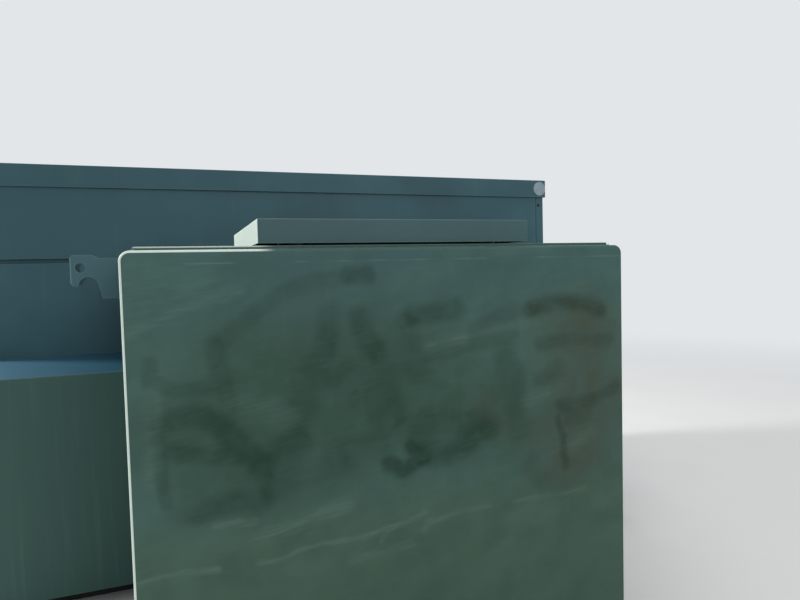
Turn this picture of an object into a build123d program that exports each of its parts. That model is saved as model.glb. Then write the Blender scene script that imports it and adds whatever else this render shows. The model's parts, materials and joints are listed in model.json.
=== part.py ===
import os
from build123d import *

# Pad-mounted utility cabinet: a folded-steel tank with a capped handhole on
# its top, and behind it a wider terminal cabinet with side steps, two service
# doors and a hood that tips back over the tank.
# Millimetres. X is the cabinet's width, +Y points to the service doors, Z is
# up from the pad. "left" is -X, as seen from the tank's plain front face.

os.makedirs("parts", exist_ok=True)

# Terminal cabinet
cabinet_width = 2654.0
cabinet_depth = 620.0
base_height = 75.0
panel_sheet = 3.0
panel_bend = 7.0
body_top = 1207.0
corner_strip = 43.0
strip_seam = 9.0
joggle_lap = 35.0
top_flange = 15.0
bottom_flange = 130.0
skirt_drop = 14.0

# Side steps
step_projection = 564.0
ledge_height = 818.0
panel_tuck = 30.0

# Hood and roof
seam_gap = 19.0
hood_height = 387.0
roof_flange = 91.0
roof_overhang = 11.0
roof_bend = 5.0
roof_crown = 14.0
crown_run = 260.0
roof_hem = 6.0
hood_bolt_drop = 43.0
hood_bolt_inset = 29.0
hood_bolt_radius = 4.0
hood_bolt_head = 7.5
hood_bolt_chamfer = 1.0
disc_radius = 37.0
disc_thickness = 1.5
disc_edge_gap = 2.0

# Tank
tank_width = 1405.0
tank_projection = 1350.0
tank_wall = 5.0
tank_bend = 8.0
tank_corner = 25.0
tank_shoulder = 1200.0
tank_rim_width = 95.0
cover_thickness = 9.0
cover_inset = 27.0
cover_corner = 18.0
cover_chamfer = 1.0

# Handhole and its weather cap
handhole_width = 460.0
handhole_length = 320.0
handhole_corner = 40.0
collar_wall = 30.0
collar_height = 18.0
gasket_thickness = 4.0
handhole_plate_thickness = 7.0
handhole_plate_chamfer = 1.5
handhole_bolt_head = 9.0
handhole_bolt_height = 7.0
cap_width = 777.0
cap_length = 627.0
cap_height = 62.0
cap_setback = 30.0
cap_lift = 6.0
cap_sheet = 2.5
cap_bend = 4.5
cap_corner = 6.0
cap_post_radius = 9.0
cap_stud_radius = 5.0
cap_post_inset = 70.0
cap_nut_radius = 11.0
cap_nut_height = 5.0

# Lifting lugs: one U-folded plate each
lug_reach = 135.0
lug_width = 88.0
lug_plate = 7.0
lug_bend = 11.0
lug_corner = 12.0
lug_tab_height = 81.0
lug_root_height = 114.0
lug_step_drop = 9.0
lug_step_start = 82.0
lug_step_end = 72.0
lug_slant_foot = 60.0
lug_hole_radius = 12.5
lug_hole_reach = 110.0
lug_hole_drop = 33.0
lug_notch_radius = 24.0
lug_notch_reach = 92.0
lug_end_distance = 300.0

# Base frame
toe_recess = 90.0
runner_width = 62.0
anchor_hole_radius = 9.0
anchor_plate_size = 120.0
anchor_plate_thickness = 10.0

# Doors, their frame, seals and hinges
door_depth = 30.0
door_sheet = 2.5
door_bend = 5.0
door_corner_gap = 2.0
door_meeting_gap = 3.0
door_bottom_gap = 8.0
door_top_gap = 7.0
door_return = 26.0
door_rib_width = 90.0
door_rib_depth = 22.0
door_rib_shares = (0.42, 0.76)
seal_gap = 6.0
seal_clearance = 0.3
seal_width = 14.0
seal_inset = 8.0
frame_depth = 25.0
frame_jamb = 60.0
frame_head = 54.0
frame_sill = 62.0
frame_post = 80.0
frame_sheet = 3.0
hinge_knuckle_radius = 8.0
hinge_pin_radius = 4.0
hinge_running_gap = 0.05
hinge_length = 90.0
hinge_leaf = 3.0
hinge_side_offset = 7.0
hinge_front_offset = 4.0
hinge_door_leaf = 66.0
hinge_side_leaf = 52.0
hinge_knuckle_gap = 0.5
hinge_end_distance = 160.0

# Door handle and three-point latch
handle_height = 640.0
handle_inset = 112.0
handle_lever = 150.0
handle_thickness = 12.0
handle_standoff = 30.0
handle_hub_radius = 17.0
handle_boss_radius = 15.0
handle_round = 2.5
handle_end_radius = 13.0
handle_hole_radius = 6.0
handle_shaft_radius = 8.0
escutcheon_width = 62.0
escutcheon_thickness = 4.0
ear_thickness = 5.0
ear_gap = 3.0
bolt_shroud_radius = 18.0
bolt_shroud_wall = 3.0
bolt_head_radius = 11.0
bolt_height = 14.0
latch_throw = 25.0
latch_rod_radius = 6.0
latch_rod_gap = 0.3
latch_rod_setback = 9.0
latch_pin_radius = 4.0
latch_slot_slack = 2.0
latch_strap = 4.0
latch_plane_offset = 1.0
latch_cam_thickness = 5.0
latch_cam_gap = 1.0
latch_cam_margin = 7.0
latch_rod_chamfer = 1.5
latch_tip_clearance = 6.0
latch_guide_thickness = 6.0
latch_guide_wall = 5.0
latch_guide_end = 60.0
latch_guide_inner = 130.0
# Greatest lead of a pin on a turning arm over a steadily moving rod, as a
# share of the arm, in a quarter turn
latch_bow_share = 0.211

# Hood hinge
hood_hinge_spacing = 900.0
hood_hinge_length = 120.0
hood_hinge_radius = 8.0
hood_hinge_setback = 10.0
hood_hinge_leaf = 3.0
hood_leaf_clearance = 1.0
hood_hinge_leaf_height = 60.0
bumper_radius = 12.0
hood_front_flange = 60.0
bumper_spacing = 2100.0
bumper_clearance = 0.3

# Terminal compartment equipment
barrier_thickness = 6.0
rim_sheet = 3.0
rim_height = 44.0
rim_gap_below_hood = 2.0
hv_bushing_spacing = 170.0
hv_bushing_first = 170.0
hv_bushing_height = 760.0
hv_bushing_stagger = 110.0
lv_bushing_spacing = 140.0
lv_bushing_first = 150.0
lv_bushing_height = 800.0
bushing_hole_radius = 21.0
bushing_shank_radius = 20.0
lv_insulator_length = 66.0
spade_neck = 18.0
spade_neck_radius = 16.0
spade_width = 64.0
spade_length = 120.0
spade_thickness = 12.0
spade_hole_radius = 7.0
spade_hole_pitch = 44.5
gauge_drop = 167.0
gauge_share = 1.5
relief_share = 3.0
gauge_radius = 48.0
gauge_depth = 34.0
control_drop = 207.0
switch_share = 0.5
tap_share = 1.7
control_gland_radius = 26.0
control_gland_depth = 20.0
control_shaft_radius = 8.0
switch_lever = 130.0
valve_height = 170.0
valve_offset = 560.0
valve_wheel_radius = 42.0
ground_bar_length = 540.0
ground_bar_height = 40.0
ground_bar_thickness = 8.0
ground_bar_start = 90.0
ground_bar_standoff = 20.0
ground_foot_width = 30.0
ground_foot_inset = 45.0
ground_hole_pitch = 60.0
ground_hole_radius = 6.0
ground_hole_count = 5

# Outlines of the turned fittings
bushing_shank_reach = 25.0
fitting_step = 4.0
hv_flange_radius = 46.0
hv_flange_thickness = 10.0
hv_root_radius = 36.0
hv_neck_radius = 25.0
hv_neck_length = 92.0
hv_lip_radius = 30.0
hv_lip_length = 20.0
hv_mouth_radius = 22.0
hv_mouth_length = 8.0
lv_flange_radius = 44.0
lv_flange_thickness = 9.0
lv_core_radius = 28.0
lv_shed_radius = 40.0
lv_shed_rise = 11.0
lv_shed_pitch = 17.0
lv_shed_count = 2
lv_tip_radius = 24.0
gauge_stem_radius = 29.0
gauge_stem_length = 12.0
gauge_taper = 2.0
gauge_bezel = 5.0
gauge_bezel_slope = 1.0
gauge_recess = 4.0
relief_neck_radius = 14.0
relief_neck_length = 24.0
relief_taper = 2.0
relief_body_radius = 22.0
relief_body_length = 18.0
relief_cap_radius = 12.0
relief_cap_slope = 8.0
relief_cap_length = 8.0
control_gland_slope = 6.0
control_hub_inset = 8.0
control_hub_length = 14.0
control_gap = 1.0
lever_gap = 3.0
switch_lever_width = 24.0
switch_lever_thickness = 10.0
tap_lever = 104.0
tap_lever_width = 22.0
tap_lever_thickness = 12.0
valve_reach = 70.0
valve_flange_radius = 34.0
valve_flange_thickness = 8.0
valve_pipe_radius = 20.0
valve_body_radius = 28.0
valve_body_half = 24.0
valve_taper = 2.0
valve_outlet_start = 34.0
valve_outlet_radius = 30.0
valve_outlet_length = 24.0
valve_bonnet_radius = 18.0
valve_bonnet_height = 52.0
valve_stem_radius = 5.0
valve_stem_height = 78.0
valve_wheel_drop = 14.0
valve_wheel_thickness = 9.0
valve_wheel_rim = 8.0
valve_spoke_width = 8.0
valve_hub_radius = 12.0

# Core and coils
limb_width = 190.0
foot_share = 4.0
spacer_share = 3.0
core_depth = 200.0
core_window_width = 230.0
core_window_height = 520.0
coil_wall = 90.0
coil_clearance = 5.0
coil_end_gap = 20.0
core_foot_height = 70.0

# How far a cut runs past a face, and how near an edge must lie to be picked
cut_overrun = 1.0
pick_tolerance = 0.1

# Places worked out from the sizes above
handle_projection = handle_standoff + handle_thickness
overall_depth = tank_projection + cabinet_depth + handle_projection
tank_front_y = -overall_depth / 2
rear_y = tank_front_y + tank_projection
front_y = rear_y + cabinet_depth
step_front_y = rear_y - step_projection
half_width = cabinet_width / 2
skirt_bottom = base_height - skirt_drop
tank_half = tank_width / 2
wall_y = rear_y + panel_sheet
tank_length = wall_y - tank_front_y
tank_mid_y = (wall_y + tank_front_y) / 2
tank_mid_z = (base_height + tank_shoulder) / 2
tank_height = tank_shoulder - base_height
cabinet_mid_y = (rear_y + front_y) / 2
frame_front_y = front_y - door_depth - seal_gap
frame_back_y = frame_front_y - frame_depth
hood_bottom = body_top + seam_gap
roof_edge_height = hood_bottom + hood_height
flange_bottom = roof_edge_height - roof_flange
cover_top = tank_shoulder + cover_thickness
cap_mid_y = tank_front_y + cap_setback + cap_length / 2
cap_bottom = cover_top + cap_lift
cap_top = cap_bottom + cap_height
collar_top = cover_top + collar_height
gasket_top = collar_top + gasket_thickness
handhole_plate_top = gasket_top + handhole_plate_thickness
door_bottom = base_height + door_bottom_gap
door_top = body_top - door_top_gap
door_width = half_width - door_corner_gap - door_meeting_gap / 2
door_height = door_top - door_bottom
frame_head_z = body_top - panel_sheet - frame_head
frame_sill_z = base_height + panel_sheet + frame_sill
hinge_x = half_width + hinge_side_offset
hinge_y = front_y + hinge_front_offset
rod_y = frame_back_y - latch_rod_setback - latch_rod_radius
hood_axis_y = rear_y - hood_hinge_setback
hood_axis_z = body_top + seam_gap / 2
rim_inset = panel_sheet + top_flange
rim_top = hood_bottom - rim_gap_below_hood
skin_round = 0.9 * panel_sheet
flange_round = 0.8 * panel_sheet


def keep(piece, name):
    """Label a finished sub-part and write it as its own STEP file."""
    piece.part.label = name
    export_step(piece.part, f"parts/{name}.step")


def block(low, high, mode=Mode.ADD):
    """A box between two corners, inside the open part."""
    size = [b - a for a, b in zip(low, high)]
    middle = [(a + b) / 2 for a, b in zip(low, high)]
    with Locations(Location(middle)):
        Box(*size, mode=mode)


# Base frame: runners set back under the skins, open inside for the cables
def plan_outline(inset):
    """The unit's footprint, pulled in by one inset, in the open sketch."""
    with Locations((0, (step_front_y + frame_front_y) / 2)):
        Rectangle(cabinet_width - 2 * inset, frame_front_y - step_front_y - 2 * inset)
    with Locations((0, (tank_front_y + rear_y) / 2)):
        Rectangle(tank_width - 2 * inset, tank_projection - 2 * inset)


anchor_x = half_width - toe_recess - runner_width - anchor_plate_size / 2
anchor_front_y = frame_front_y - toe_recess - runner_width - anchor_plate_size / 2
anchor_rear_y = step_front_y + toe_recess + runner_width + anchor_plate_size / 2
anchor_points = [(x, y) for x in (-anchor_x, anchor_x) for y in (anchor_rear_y, anchor_front_y)]

with BuildPart() as base_frame:
    with BuildSketch():
        plan_outline(toe_recess)
    extrude(amount=base_height)
    with BuildSketch():
        with Locations((0, (step_front_y + frame_front_y) / 2)):
            Rectangle(
                cabinet_width - 2 * (toe_recess + runner_width),
                frame_front_y - step_front_y - 2 * (toe_recess + runner_width),
            )
        with Locations((0, (tank_front_y + step_front_y) / 2 + toe_recess)):
            Rectangle(
                tank_width - 2 * (toe_recess + runner_width),
                step_front_y - tank_front_y - 2 * runner_width,
            )
    extrude(amount=base_height, mode=Mode.SUBTRACT)
    for side in (-1, 1):
        inner = side * (tank_half - toe_recess)
        outer = side * (tank_half - toe_recess - runner_width)
        block(
            (min(inner, outer), step_front_y + toe_recess, 0),
            (max(inner, outer), frame_front_y - toe_recess, base_height),
        )
    with BuildSketch():
        with Locations(*anchor_points):
            Rectangle(anchor_plate_size, anchor_plate_size)
    extrude(amount=anchor_plate_thickness)
    with BuildSketch():
        with Locations(*anchor_points):
            Circle(anchor_hole_radius)
    extrude(amount=anchor_plate_thickness, mode=Mode.SUBTRACT)
keep(base_frame, "base_frame")

# Bushing places on the tank wall that faces the service doors
hv_points = [
    (hv_bushing_first + i * hv_bushing_spacing, hv_bushing_height - (i % 2) * hv_bushing_stagger)
    for i in range(3)
]
lv_points = [(-lv_bushing_first - i * lv_bushing_spacing, lv_bushing_height) for i in range(4)]

# Tank: folded walls with rounded bends, a floor, and a rim for the cover
with BuildPart() as tank_form:
    with BuildSketch(Plane.XZ.offset(-tank_front_y)) as tank_outline:
        with Locations((0, tank_mid_z)):
            Rectangle(tank_width, tank_height)
        fillet(tank_outline.vertices().group_by(Axis.Y)[-1], tank_corner)
    extrude(amount=-tank_length)
    tank_ends = tank_form.faces().sort_by(Axis.Y)
    end_edges = tank_ends[0].edges() + tank_ends[-1].edges()
    fillet([e for e in end_edges if e.center().Z > base_height + tank_bend], tank_bend)

with BuildPart() as tank_shell:
    add(tank_form.part)
    with BuildSketch(Plane.XZ.offset(-tank_front_y - tank_wall)) as tank_hollow:
        with Locations((0, tank_mid_z)):
            Rectangle(tank_width - 2 * tank_wall, tank_height - 2 * tank_wall)
        fillet(tank_hollow.vertices().group_by(Axis.Y)[-1], tank_corner - tank_wall)
    extrude(amount=2 * tank_wall - tank_length, mode=Mode.SUBTRACT)
    with BuildSketch(Plane.XY.offset(tank_shoulder - 2 * tank_wall)):
        with Locations((0, tank_mid_y)):
            RectangleRounded(
                tank_width - 2 * tank_rim_width, tank_length - 2 * tank_rim_width, cover_corner
            )
    extrude(amount=3 * tank_wall, mode=Mode.SUBTRACT)
    with BuildSketch(Plane.XZ.offset(-wall_y)):
        with Locations(*hv_points, *lv_points):
            Circle(bushing_hole_radius)
    extrude(amount=2 * tank_wall, mode=Mode.SUBTRACT)
keep(tank_shell, "tank_shell")

# Cover plate with the welded handhole collar and the four cap posts
cap_posts = [
    (x * (cap_width / 2 - cap_post_inset), cap_mid_y + y * (cap_length / 2 - cap_post_inset))
    for x in (-1, 1)
    for y in (-1, 1)
]
with BuildPart() as tank_cover:
    with BuildSketch(Plane.XY.offset(tank_shoulder)):
        with Locations((0, tank_mid_y)):
            RectangleRounded(
                tank_width - 2 * cover_inset, tank_length - 2 * cover_inset, cover_corner
            )
    extrude(amount=cover_thickness)
    chamfer(tank_cover.faces().sort_by(Axis.Z)[-1].edges(), cover_chamfer)
    with BuildSketch(Plane.XY.offset(cover_top)):
        with Locations((0, cap_mid_y)):
            RectangleRounded(
                handhole_width + 2 * collar_wall, handhole_length + 2 * collar_wall, handhole_corner
            )
    extrude(amount=collar_height)
    with BuildSketch(Plane.XY.offset(tank_shoulder)):
        with Locations((0, cap_mid_y)):
            RectangleRounded(handhole_width, handhole_length, handhole_corner / 2)
    extrude(amount=collar_top - tank_shoulder, mode=Mode.SUBTRACT)
    with BuildSketch(Plane.XY.offset(cover_top)):
        with Locations(*cap_posts):
            Circle(cap_post_radius)
    extrude(amount=cap_top - cap_sheet - cover_top)
    with BuildSketch(Plane.XY.offset(cap_top - cap_sheet)):
        with Locations(*cap_posts):
            Circle(cap_stud_radius)
    extrude(amount=cap_sheet + cap_nut_height)
keep(tank_cover, "tank_cover")

# Handhole gasket, blanking plate and its ring of bolts
bolt_pitch_x = (handhole_width + collar_wall) / 3
bolt_line = collar_wall / 2
handhole_bolt_points = [
    (x * bolt_pitch_x, cap_mid_y + y * (handhole_length / 2 + bolt_line))
    for x in (-1.5, -0.5, 0.5, 1.5)
    for y in (-1, 1)
] + [(x * (handhole_width / 2 + bolt_line), cap_mid_y) for x in (-1, 1)]

with BuildPart() as handhole_gasket:
    with BuildSketch(Plane.XY.offset(collar_top)):
        with Locations((0, cap_mid_y)):
            RectangleRounded(
                handhole_width + 2 * collar_wall, handhole_length + 2 * collar_wall, handhole_corner
            )
            RectangleRounded(
                handhole_width, handhole_length, handhole_corner / 2, mode=Mode.SUBTRACT
            )
    extrude(amount=gasket_thickness)
keep(handhole_gasket, "handhole_gasket")

with BuildPart() as handhole_plate:
    with BuildSketch(Plane.XY.offset(gasket_top)):
        with Locations((0, cap_mid_y)):
            RectangleRounded(
                handhole_width + 2 * collar_wall, handhole_length + 2 * collar_wall, handhole_corner
            )
    extrude(amount=handhole_plate_thickness)
    chamfer(handhole_plate.faces().sort_by(Axis.Z)[-1].edges(), handhole_plate_chamfer)
keep(handhole_plate, "handhole_plate")

with BuildPart() as handhole_bolts:
    with BuildSketch(Plane.XY.offset(handhole_plate_top)):
        with Locations(*handhole_bolt_points):
            RegularPolygon(handhole_bolt_head, 6)
    extrude(amount=handhole_bolt_height)
keep(handhole_bolts, "handhole_bolts")

# Weather cap: an inverted folded tray on the posts, held by four dome nuts
with BuildPart() as weather_cap:
    with BuildSketch(Plane.XY.offset(cap_bottom)):
        with Locations((0, cap_mid_y)):
            RectangleRounded(cap_width, cap_length, cap_corner)
    extrude(amount=cap_height)
    fillet(weather_cap.faces().sort_by(Axis.Z)[-1].edges(), cap_bend)
    with BuildSketch(Plane.XY.offset(cap_bottom)):
        with Locations((0, cap_mid_y)):
            RectangleRounded(
                cap_width - 2 * cap_sheet, cap_length - 2 * cap_sheet, cap_corner - cap_sheet
            )
    extrude(amount=cap_height - cap_sheet, mode=Mode.SUBTRACT)
    with BuildSketch(Plane.XY.offset(cap_top - cap_sheet)):
        with Locations(*cap_posts):
            Circle(cap_stud_radius)
    extrude(amount=cap_sheet, mode=Mode.SUBTRACT)
keep(weather_cap, "weather_cap")

with BuildPart() as cap_nuts:
    with BuildSketch(Plane.XY.offset(cap_top)):
        with Locations(*cap_posts):
            RegularPolygon(cap_nut_radius, 6)
    extrude(amount=cap_nut_height)
    with BuildSketch(Plane.XY.offset(cap_top)):
        with Locations(*cap_posts):
            Circle(cap_stud_radius)
    extrude(amount=cap_nut_height, mode=Mode.SUBTRACT)
keep(cap_nuts, "cap_nuts")


# Lifting lugs: two cheeks and an outer web, folded from one plate. The cheeks
# have a shackle hole, a half-round hook notch and a slanted root.
def lifting_lug(side, middle_y, name):
    """One lug on the tank's side wall, reaching out along X."""
    near_y = middle_y - lug_width / 2
    reach = side * (tank_half + lug_reach)
    inner_end = side * (tank_half + lug_reach - lug_plate)
    top = tank_shoulder
    tab_bottom = top - lug_tab_height
    notch_far = side * (tank_half + lug_notch_reach + lug_notch_radius)
    notch_middle = side * (tank_half + lug_notch_reach)
    notch_near = side * (tank_half + lug_notch_reach - lug_notch_radius)
    root_in = side * (tank_half - tank_corner)
    with BuildPart() as lug:
        block(
            (min(root_in, reach), near_y, top - lug_root_height),
            (max(root_in, reach), near_y + lug_width, top),
        )
        outer_edges = lug.edges().filter_by(Axis.Z).filter_by(
            lambda e: abs(e.center().X - reach) < pick_tolerance
        )
        fillet(outer_edges, lug_bend)
        block(
            (min(root_in, inner_end), near_y + lug_plate, 0),
            (max(root_in, inner_end), near_y + lug_width - lug_plate, cover_top),
            Mode.SUBTRACT,
        )
        with BuildSketch(Plane.XZ.offset(-near_y)) as cheek:
            with BuildLine():
                Polyline(
                    (root_in, top - lug_step_drop),
                    (side * (tank_half + lug_step_end), top - lug_step_drop),
                    (side * (tank_half + lug_step_start), top),
                    (reach, top),
                    (reach, tab_bottom),
                    (notch_far, tab_bottom),
                )
                ThreePointArc(
                    (notch_far, tab_bottom),
                    (notch_middle, tab_bottom + lug_notch_radius),
                    (notch_near, tab_bottom),
                )
                Polyline(
                    (notch_near, tab_bottom),
                    (side * (tank_half + lug_slant_foot), top - lug_root_height),
                    (root_in, top - lug_root_height),
                    (root_in, top - lug_step_drop),
                )
            make_face()
            outer_corners = cheek.vertices().filter_by(
                lambda v: abs(v.X - reach) < pick_tolerance
            )
            fillet(outer_corners, lug_corner)
            with Locations((side * (tank_half + lug_hole_reach), top - lug_hole_drop)):
                Circle(lug_hole_radius, mode=Mode.SUBTRACT)
        extrude(amount=-lug_width, mode=Mode.INTERSECT)
        add(tank_form.part, mode=Mode.SUBTRACT)
    keep(lug, name)


lug_front_y = tank_front_y + lug_end_distance
lug_rear_y = rear_y - lug_end_distance
for side, hand in ((-1, "left"), (1, "right")):
    lifting_lug(side, lug_front_y, f"lift_lug_front_{hand}")
    lifting_lug(side, lug_rear_y, f"lift_lug_rear_{hand}")


# Side steps: one folded sheet each, open to the tank, the cabinet and the pad
def step_box(side, name):
    """The low box beside the tank, whose top is the ledge."""
    outer = side * half_width
    inner = side * tank_half
    past_tank = side * (tank_half - cut_overrun)
    skin = side * (half_width - panel_sheet)
    flange = side * (half_width - bottom_flange)
    with BuildPart() as step:
        block(
            (min(outer, inner), step_front_y, skirt_bottom),
            (max(outer, inner), rear_y, ledge_height),
        )
        front = step.faces().sort_by(Axis.Y)[0]
        side_face = step.faces().sort_by(Axis.X)[0 if side < 0 else -1]
        top = step.faces().sort_by(Axis.Z)[-1]
        bends = [
            e
            for e in step.edges()
            if sum(f.distance_to(e.center()) < pick_tolerance for f in (front, side_face, top)) == 2
        ]
        fillet(bends, panel_bend)
        block(
            (min(skin, past_tank), step_front_y + panel_sheet, skirt_bottom - cut_overrun),
            (max(skin, past_tank), rear_y + cut_overrun, ledge_height - panel_sheet),
            Mode.SUBTRACT,
        )
        block(
            (min(skin, inner), step_front_y + panel_sheet, base_height),
            (max(skin, inner), step_front_y + bottom_flange, base_height + panel_sheet),
        )
        block(
            (min(skin, flange), step_front_y + panel_sheet, base_height),
            (max(skin, flange), rear_y, base_height + panel_sheet),
        )
    keep(step, name)


# Rear panels above the ledge, with a top flange and a joggled outer edge that
# laps behind the side panel's corner strip
def rear_panel(side, name):
    """The cabinet's back skin beside the tank."""
    strip_end = side * (half_width - corner_strip - strip_seam)
    lap_end = side * (half_width - corner_strip + joggle_lap - strip_seam)
    inner = side * tank_half
    with BuildPart() as panel:
        block(
            (min(strip_end, inner), rear_y, ledge_height - panel_tuck),
            (max(strip_end, inner), wall_y, body_top),
        )
        top_edge = panel.faces().sort_by(Axis.Y)[0].edges().sort_by(Axis.Z)[-1]
        fillet(top_edge, flange_round)
        block(
            (min(strip_end, inner), wall_y, body_top - panel_sheet),
            (max(strip_end, inner), rear_y + rim_inset, body_top),
        )
        block(
            (min(strip_end - side * panel_sheet, lap_end), wall_y, ledge_height - panel_tuck),
            (max(strip_end - side * panel_sheet, lap_end), wall_y + panel_sheet, body_top),
        )
    keep(panel, name)


# Side panels: skin, rear corner strip, top flange and bottom flange
def side_panel(side, name):
    """The cabinet's end skin from the rear corner to the door frame."""
    outer = side * half_width
    skin = side * (half_width - panel_sheet)
    strip = side * (half_width - corner_strip)
    flange = side * (half_width - rim_inset)
    foot = side * (half_width - bottom_flange)
    with BuildPart() as panel:
        block(
            (min(outer, skin), rear_y, skirt_bottom),
            (max(outer, skin), frame_front_y, body_top),
        )
        block(
            (min(outer, strip), rear_y, ledge_height),
            (max(outer, strip), wall_y, body_top),
        )
        corner = panel.edges().filter_by(Axis.Z).filter_by(
            lambda e: abs(e.center().X - outer) < pick_tolerance
            and abs(e.center().Y - rear_y) < pick_tolerance
        )
        fillet(corner, skin_round)
        block(
            (min(skin, flange), wall_y + panel_sheet, body_top - panel_sheet),
            (max(skin, flange), frame_back_y, body_top),
        )
        block(
            (min(skin, foot), rear_y, base_height),
            (max(skin, foot), frame_back_y, base_height + panel_sheet),
        )
    keep(panel, name)


for side, hand in ((-1, "left"), (1, "right")):
    step_box(side, f"step_box_{hand}")
    rear_panel(side, f"rear_panel_{hand}")
    side_panel(side, f"side_panel_{hand}")

# Rim: an upstand ring behind the seam under the hood
with BuildPart() as top_rim:
    with BuildSketch(Plane.XY.offset(rim_top - rim_height)):
        with Locations((0, (rear_y + frame_back_y) / 2)):
            Rectangle(cabinet_width - 2 * rim_inset, frame_back_y - rear_y - 2 * rim_inset)
            Rectangle(
                cabinet_width - 2 * (rim_inset + rim_sheet),
                frame_back_y - rear_y - 2 * (rim_inset + rim_sheet),
                mode=Mode.SUBTRACT,
            )
    extrude(amount=rim_height)
keep(top_rim, "top_rim")

# Door frame: channel section round two door openings, with a centre post
opening_width = half_width - panel_sheet - frame_jamb - frame_post / 2
opening_height = frame_head_z - frame_sill_z
opening_mid_z = (frame_head_z + frame_sill_z) / 2
opening_centres = [
    (side * (frame_post / 2 + opening_width / 2), opening_mid_z) for side in (-1, 1)
]
frame_width = cabinet_width - 2 * panel_sheet
frame_height = body_top - base_height - 2 * panel_sheet
frame_mid_z = (body_top + base_height) / 2
with BuildPart() as door_frame:
    with BuildSketch(Plane.XZ.offset(-frame_front_y)):
        with Locations((0, frame_mid_z)):
            Rectangle(frame_width, frame_height)
        with Locations(*opening_centres):
            Rectangle(opening_width, opening_height, mode=Mode.SUBTRACT)
    extrude(amount=frame_depth)
    with BuildSketch(Plane.XZ.offset(-frame_back_y)):
        with Locations((0, frame_mid_z)):
            Rectangle(frame_width - 2 * frame_sheet, frame_height - 2 * frame_sheet)
        with Locations(*opening_centres):
            Rectangle(
                opening_width + 2 * frame_sheet,
                opening_height + 2 * frame_sheet,
                mode=Mode.SUBTRACT,
            )
    extrude(amount=-(frame_depth - frame_sheet), mode=Mode.SUBTRACT)
keep(door_frame, "door_frame")

# Door seals: a rubber ring for each door, just short of the pan's return
door_mid_x = door_meeting_gap / 2 + door_width / 2
door_mid_z = (door_bottom + door_top) / 2
door_centres = [(side * door_mid_x, door_mid_z) for side in (-1, 1)]
with BuildPart() as door_seals:
    with BuildSketch(Plane.XZ.offset(-frame_front_y)):
        with Locations(*door_centres):
            Rectangle(door_width - 2 * seal_inset, door_height - 2 * seal_inset)
            Rectangle(
                door_width - 2 * (seal_inset + seal_width),
                door_height - 2 * (seal_inset + seal_width),
                mode=Mode.SUBTRACT,
            )
    extrude(amount=-(seal_gap - seal_clearance))
keep(door_seals, "door_seals")

# Barrier between the two terminal compartments
with BuildPart() as barrier_plate:
    block(
        (-barrier_thickness / 2, wall_y, base_height),
        (barrier_thickness / 2, frame_back_y, rim_top - rim_height),
    )
keep(barrier_plate, "barrier_plate")

# Hood walls: a skin with laps behind the corner strips and a bottom flange
roof_under = roof_edge_height - panel_sheet
wall_half = half_width - corner_strip - strip_seam
lap_half = wall_half + joggle_lap
hood_bolt_x = half_width - hood_bolt_inset
hood_bolt_z = flange_bottom - hood_bolt_drop
hood_bolt_points = [(-hood_bolt_x, hood_bolt_z), (hood_bolt_x, hood_bolt_z)]


def hood_wall(skin_y, inward, flange, name):
    """A long wall of the hood; inward is the Y direction to the inside."""
    inner_y = skin_y + inward * panel_sheet
    lap_y = inner_y + inward * panel_sheet
    flange_y = inner_y + inward * flange
    with BuildPart() as wall:
        block(
            (-wall_half, min(skin_y, inner_y), hood_bottom),
            (wall_half, max(skin_y, inner_y), roof_under),
        )
        for side in (-1, 1):
            start = side * (wall_half - panel_sheet)
            block(
                (min(start, side * lap_half), min(inner_y, lap_y), hood_bottom),
                (max(start, side * lap_half), max(inner_y, lap_y), roof_under),
            )
        block(
            (-wall_half, min(inner_y, flange_y), hood_bottom),
            (wall_half, max(inner_y, flange_y), hood_bottom + panel_sheet),
        )
        with BuildSketch(Plane.XZ.offset(-skin_y)):
            with Locations(*hood_bolt_points):
                Circle(hood_bolt_radius)
        extrude(amount=-inward * 3 * panel_sheet, mode=Mode.SUBTRACT)
    keep(wall, name)


# Hood ends: an end skin folded round both corners into a strip
def hood_end(side, name):
    """One end of the hood, with a corner strip front and rear."""
    outer = side * half_width
    skin = side * (half_width - panel_sheet)
    strip = side * (half_width - corner_strip)
    flange = side * (half_width - rim_inset)
    with BuildPart() as end:
        block((min(outer, skin), rear_y, hood_bottom), (max(outer, skin), front_y, roof_under))
        block((min(outer, strip), rear_y, hood_bottom), (max(outer, strip), wall_y, roof_under))
        block(
            (min(outer, strip), front_y - panel_sheet, hood_bottom),
            (max(outer, strip), front_y, roof_under),
        )
        corners = [
            e
            for e in end.edges().filter_by(Axis.Z)
            if abs(e.center().X - outer) < pick_tolerance
        ]
        fillet(corners, skin_round)
        block(
            (min(skin, flange), wall_y + panel_sheet, hood_bottom),
            (max(skin, flange), front_y - 2 * panel_sheet, hood_bottom + panel_sheet),
        )
        with BuildSketch(Plane.XZ.offset(-rear_y)):
            with Locations(*hood_bolt_points):
                Circle(hood_bolt_radius)
        extrude(amount=-cabinet_depth, mode=Mode.SUBTRACT)
    keep(end, name)


hood_wall(rear_y, 1, top_flange, "hood_rear_wall")
hood_wall(front_y, -1, hood_front_flange, "hood_front_wall")
hood_end(-1, "hood_end_left")
hood_end(1, "hood_end_right")

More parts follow.
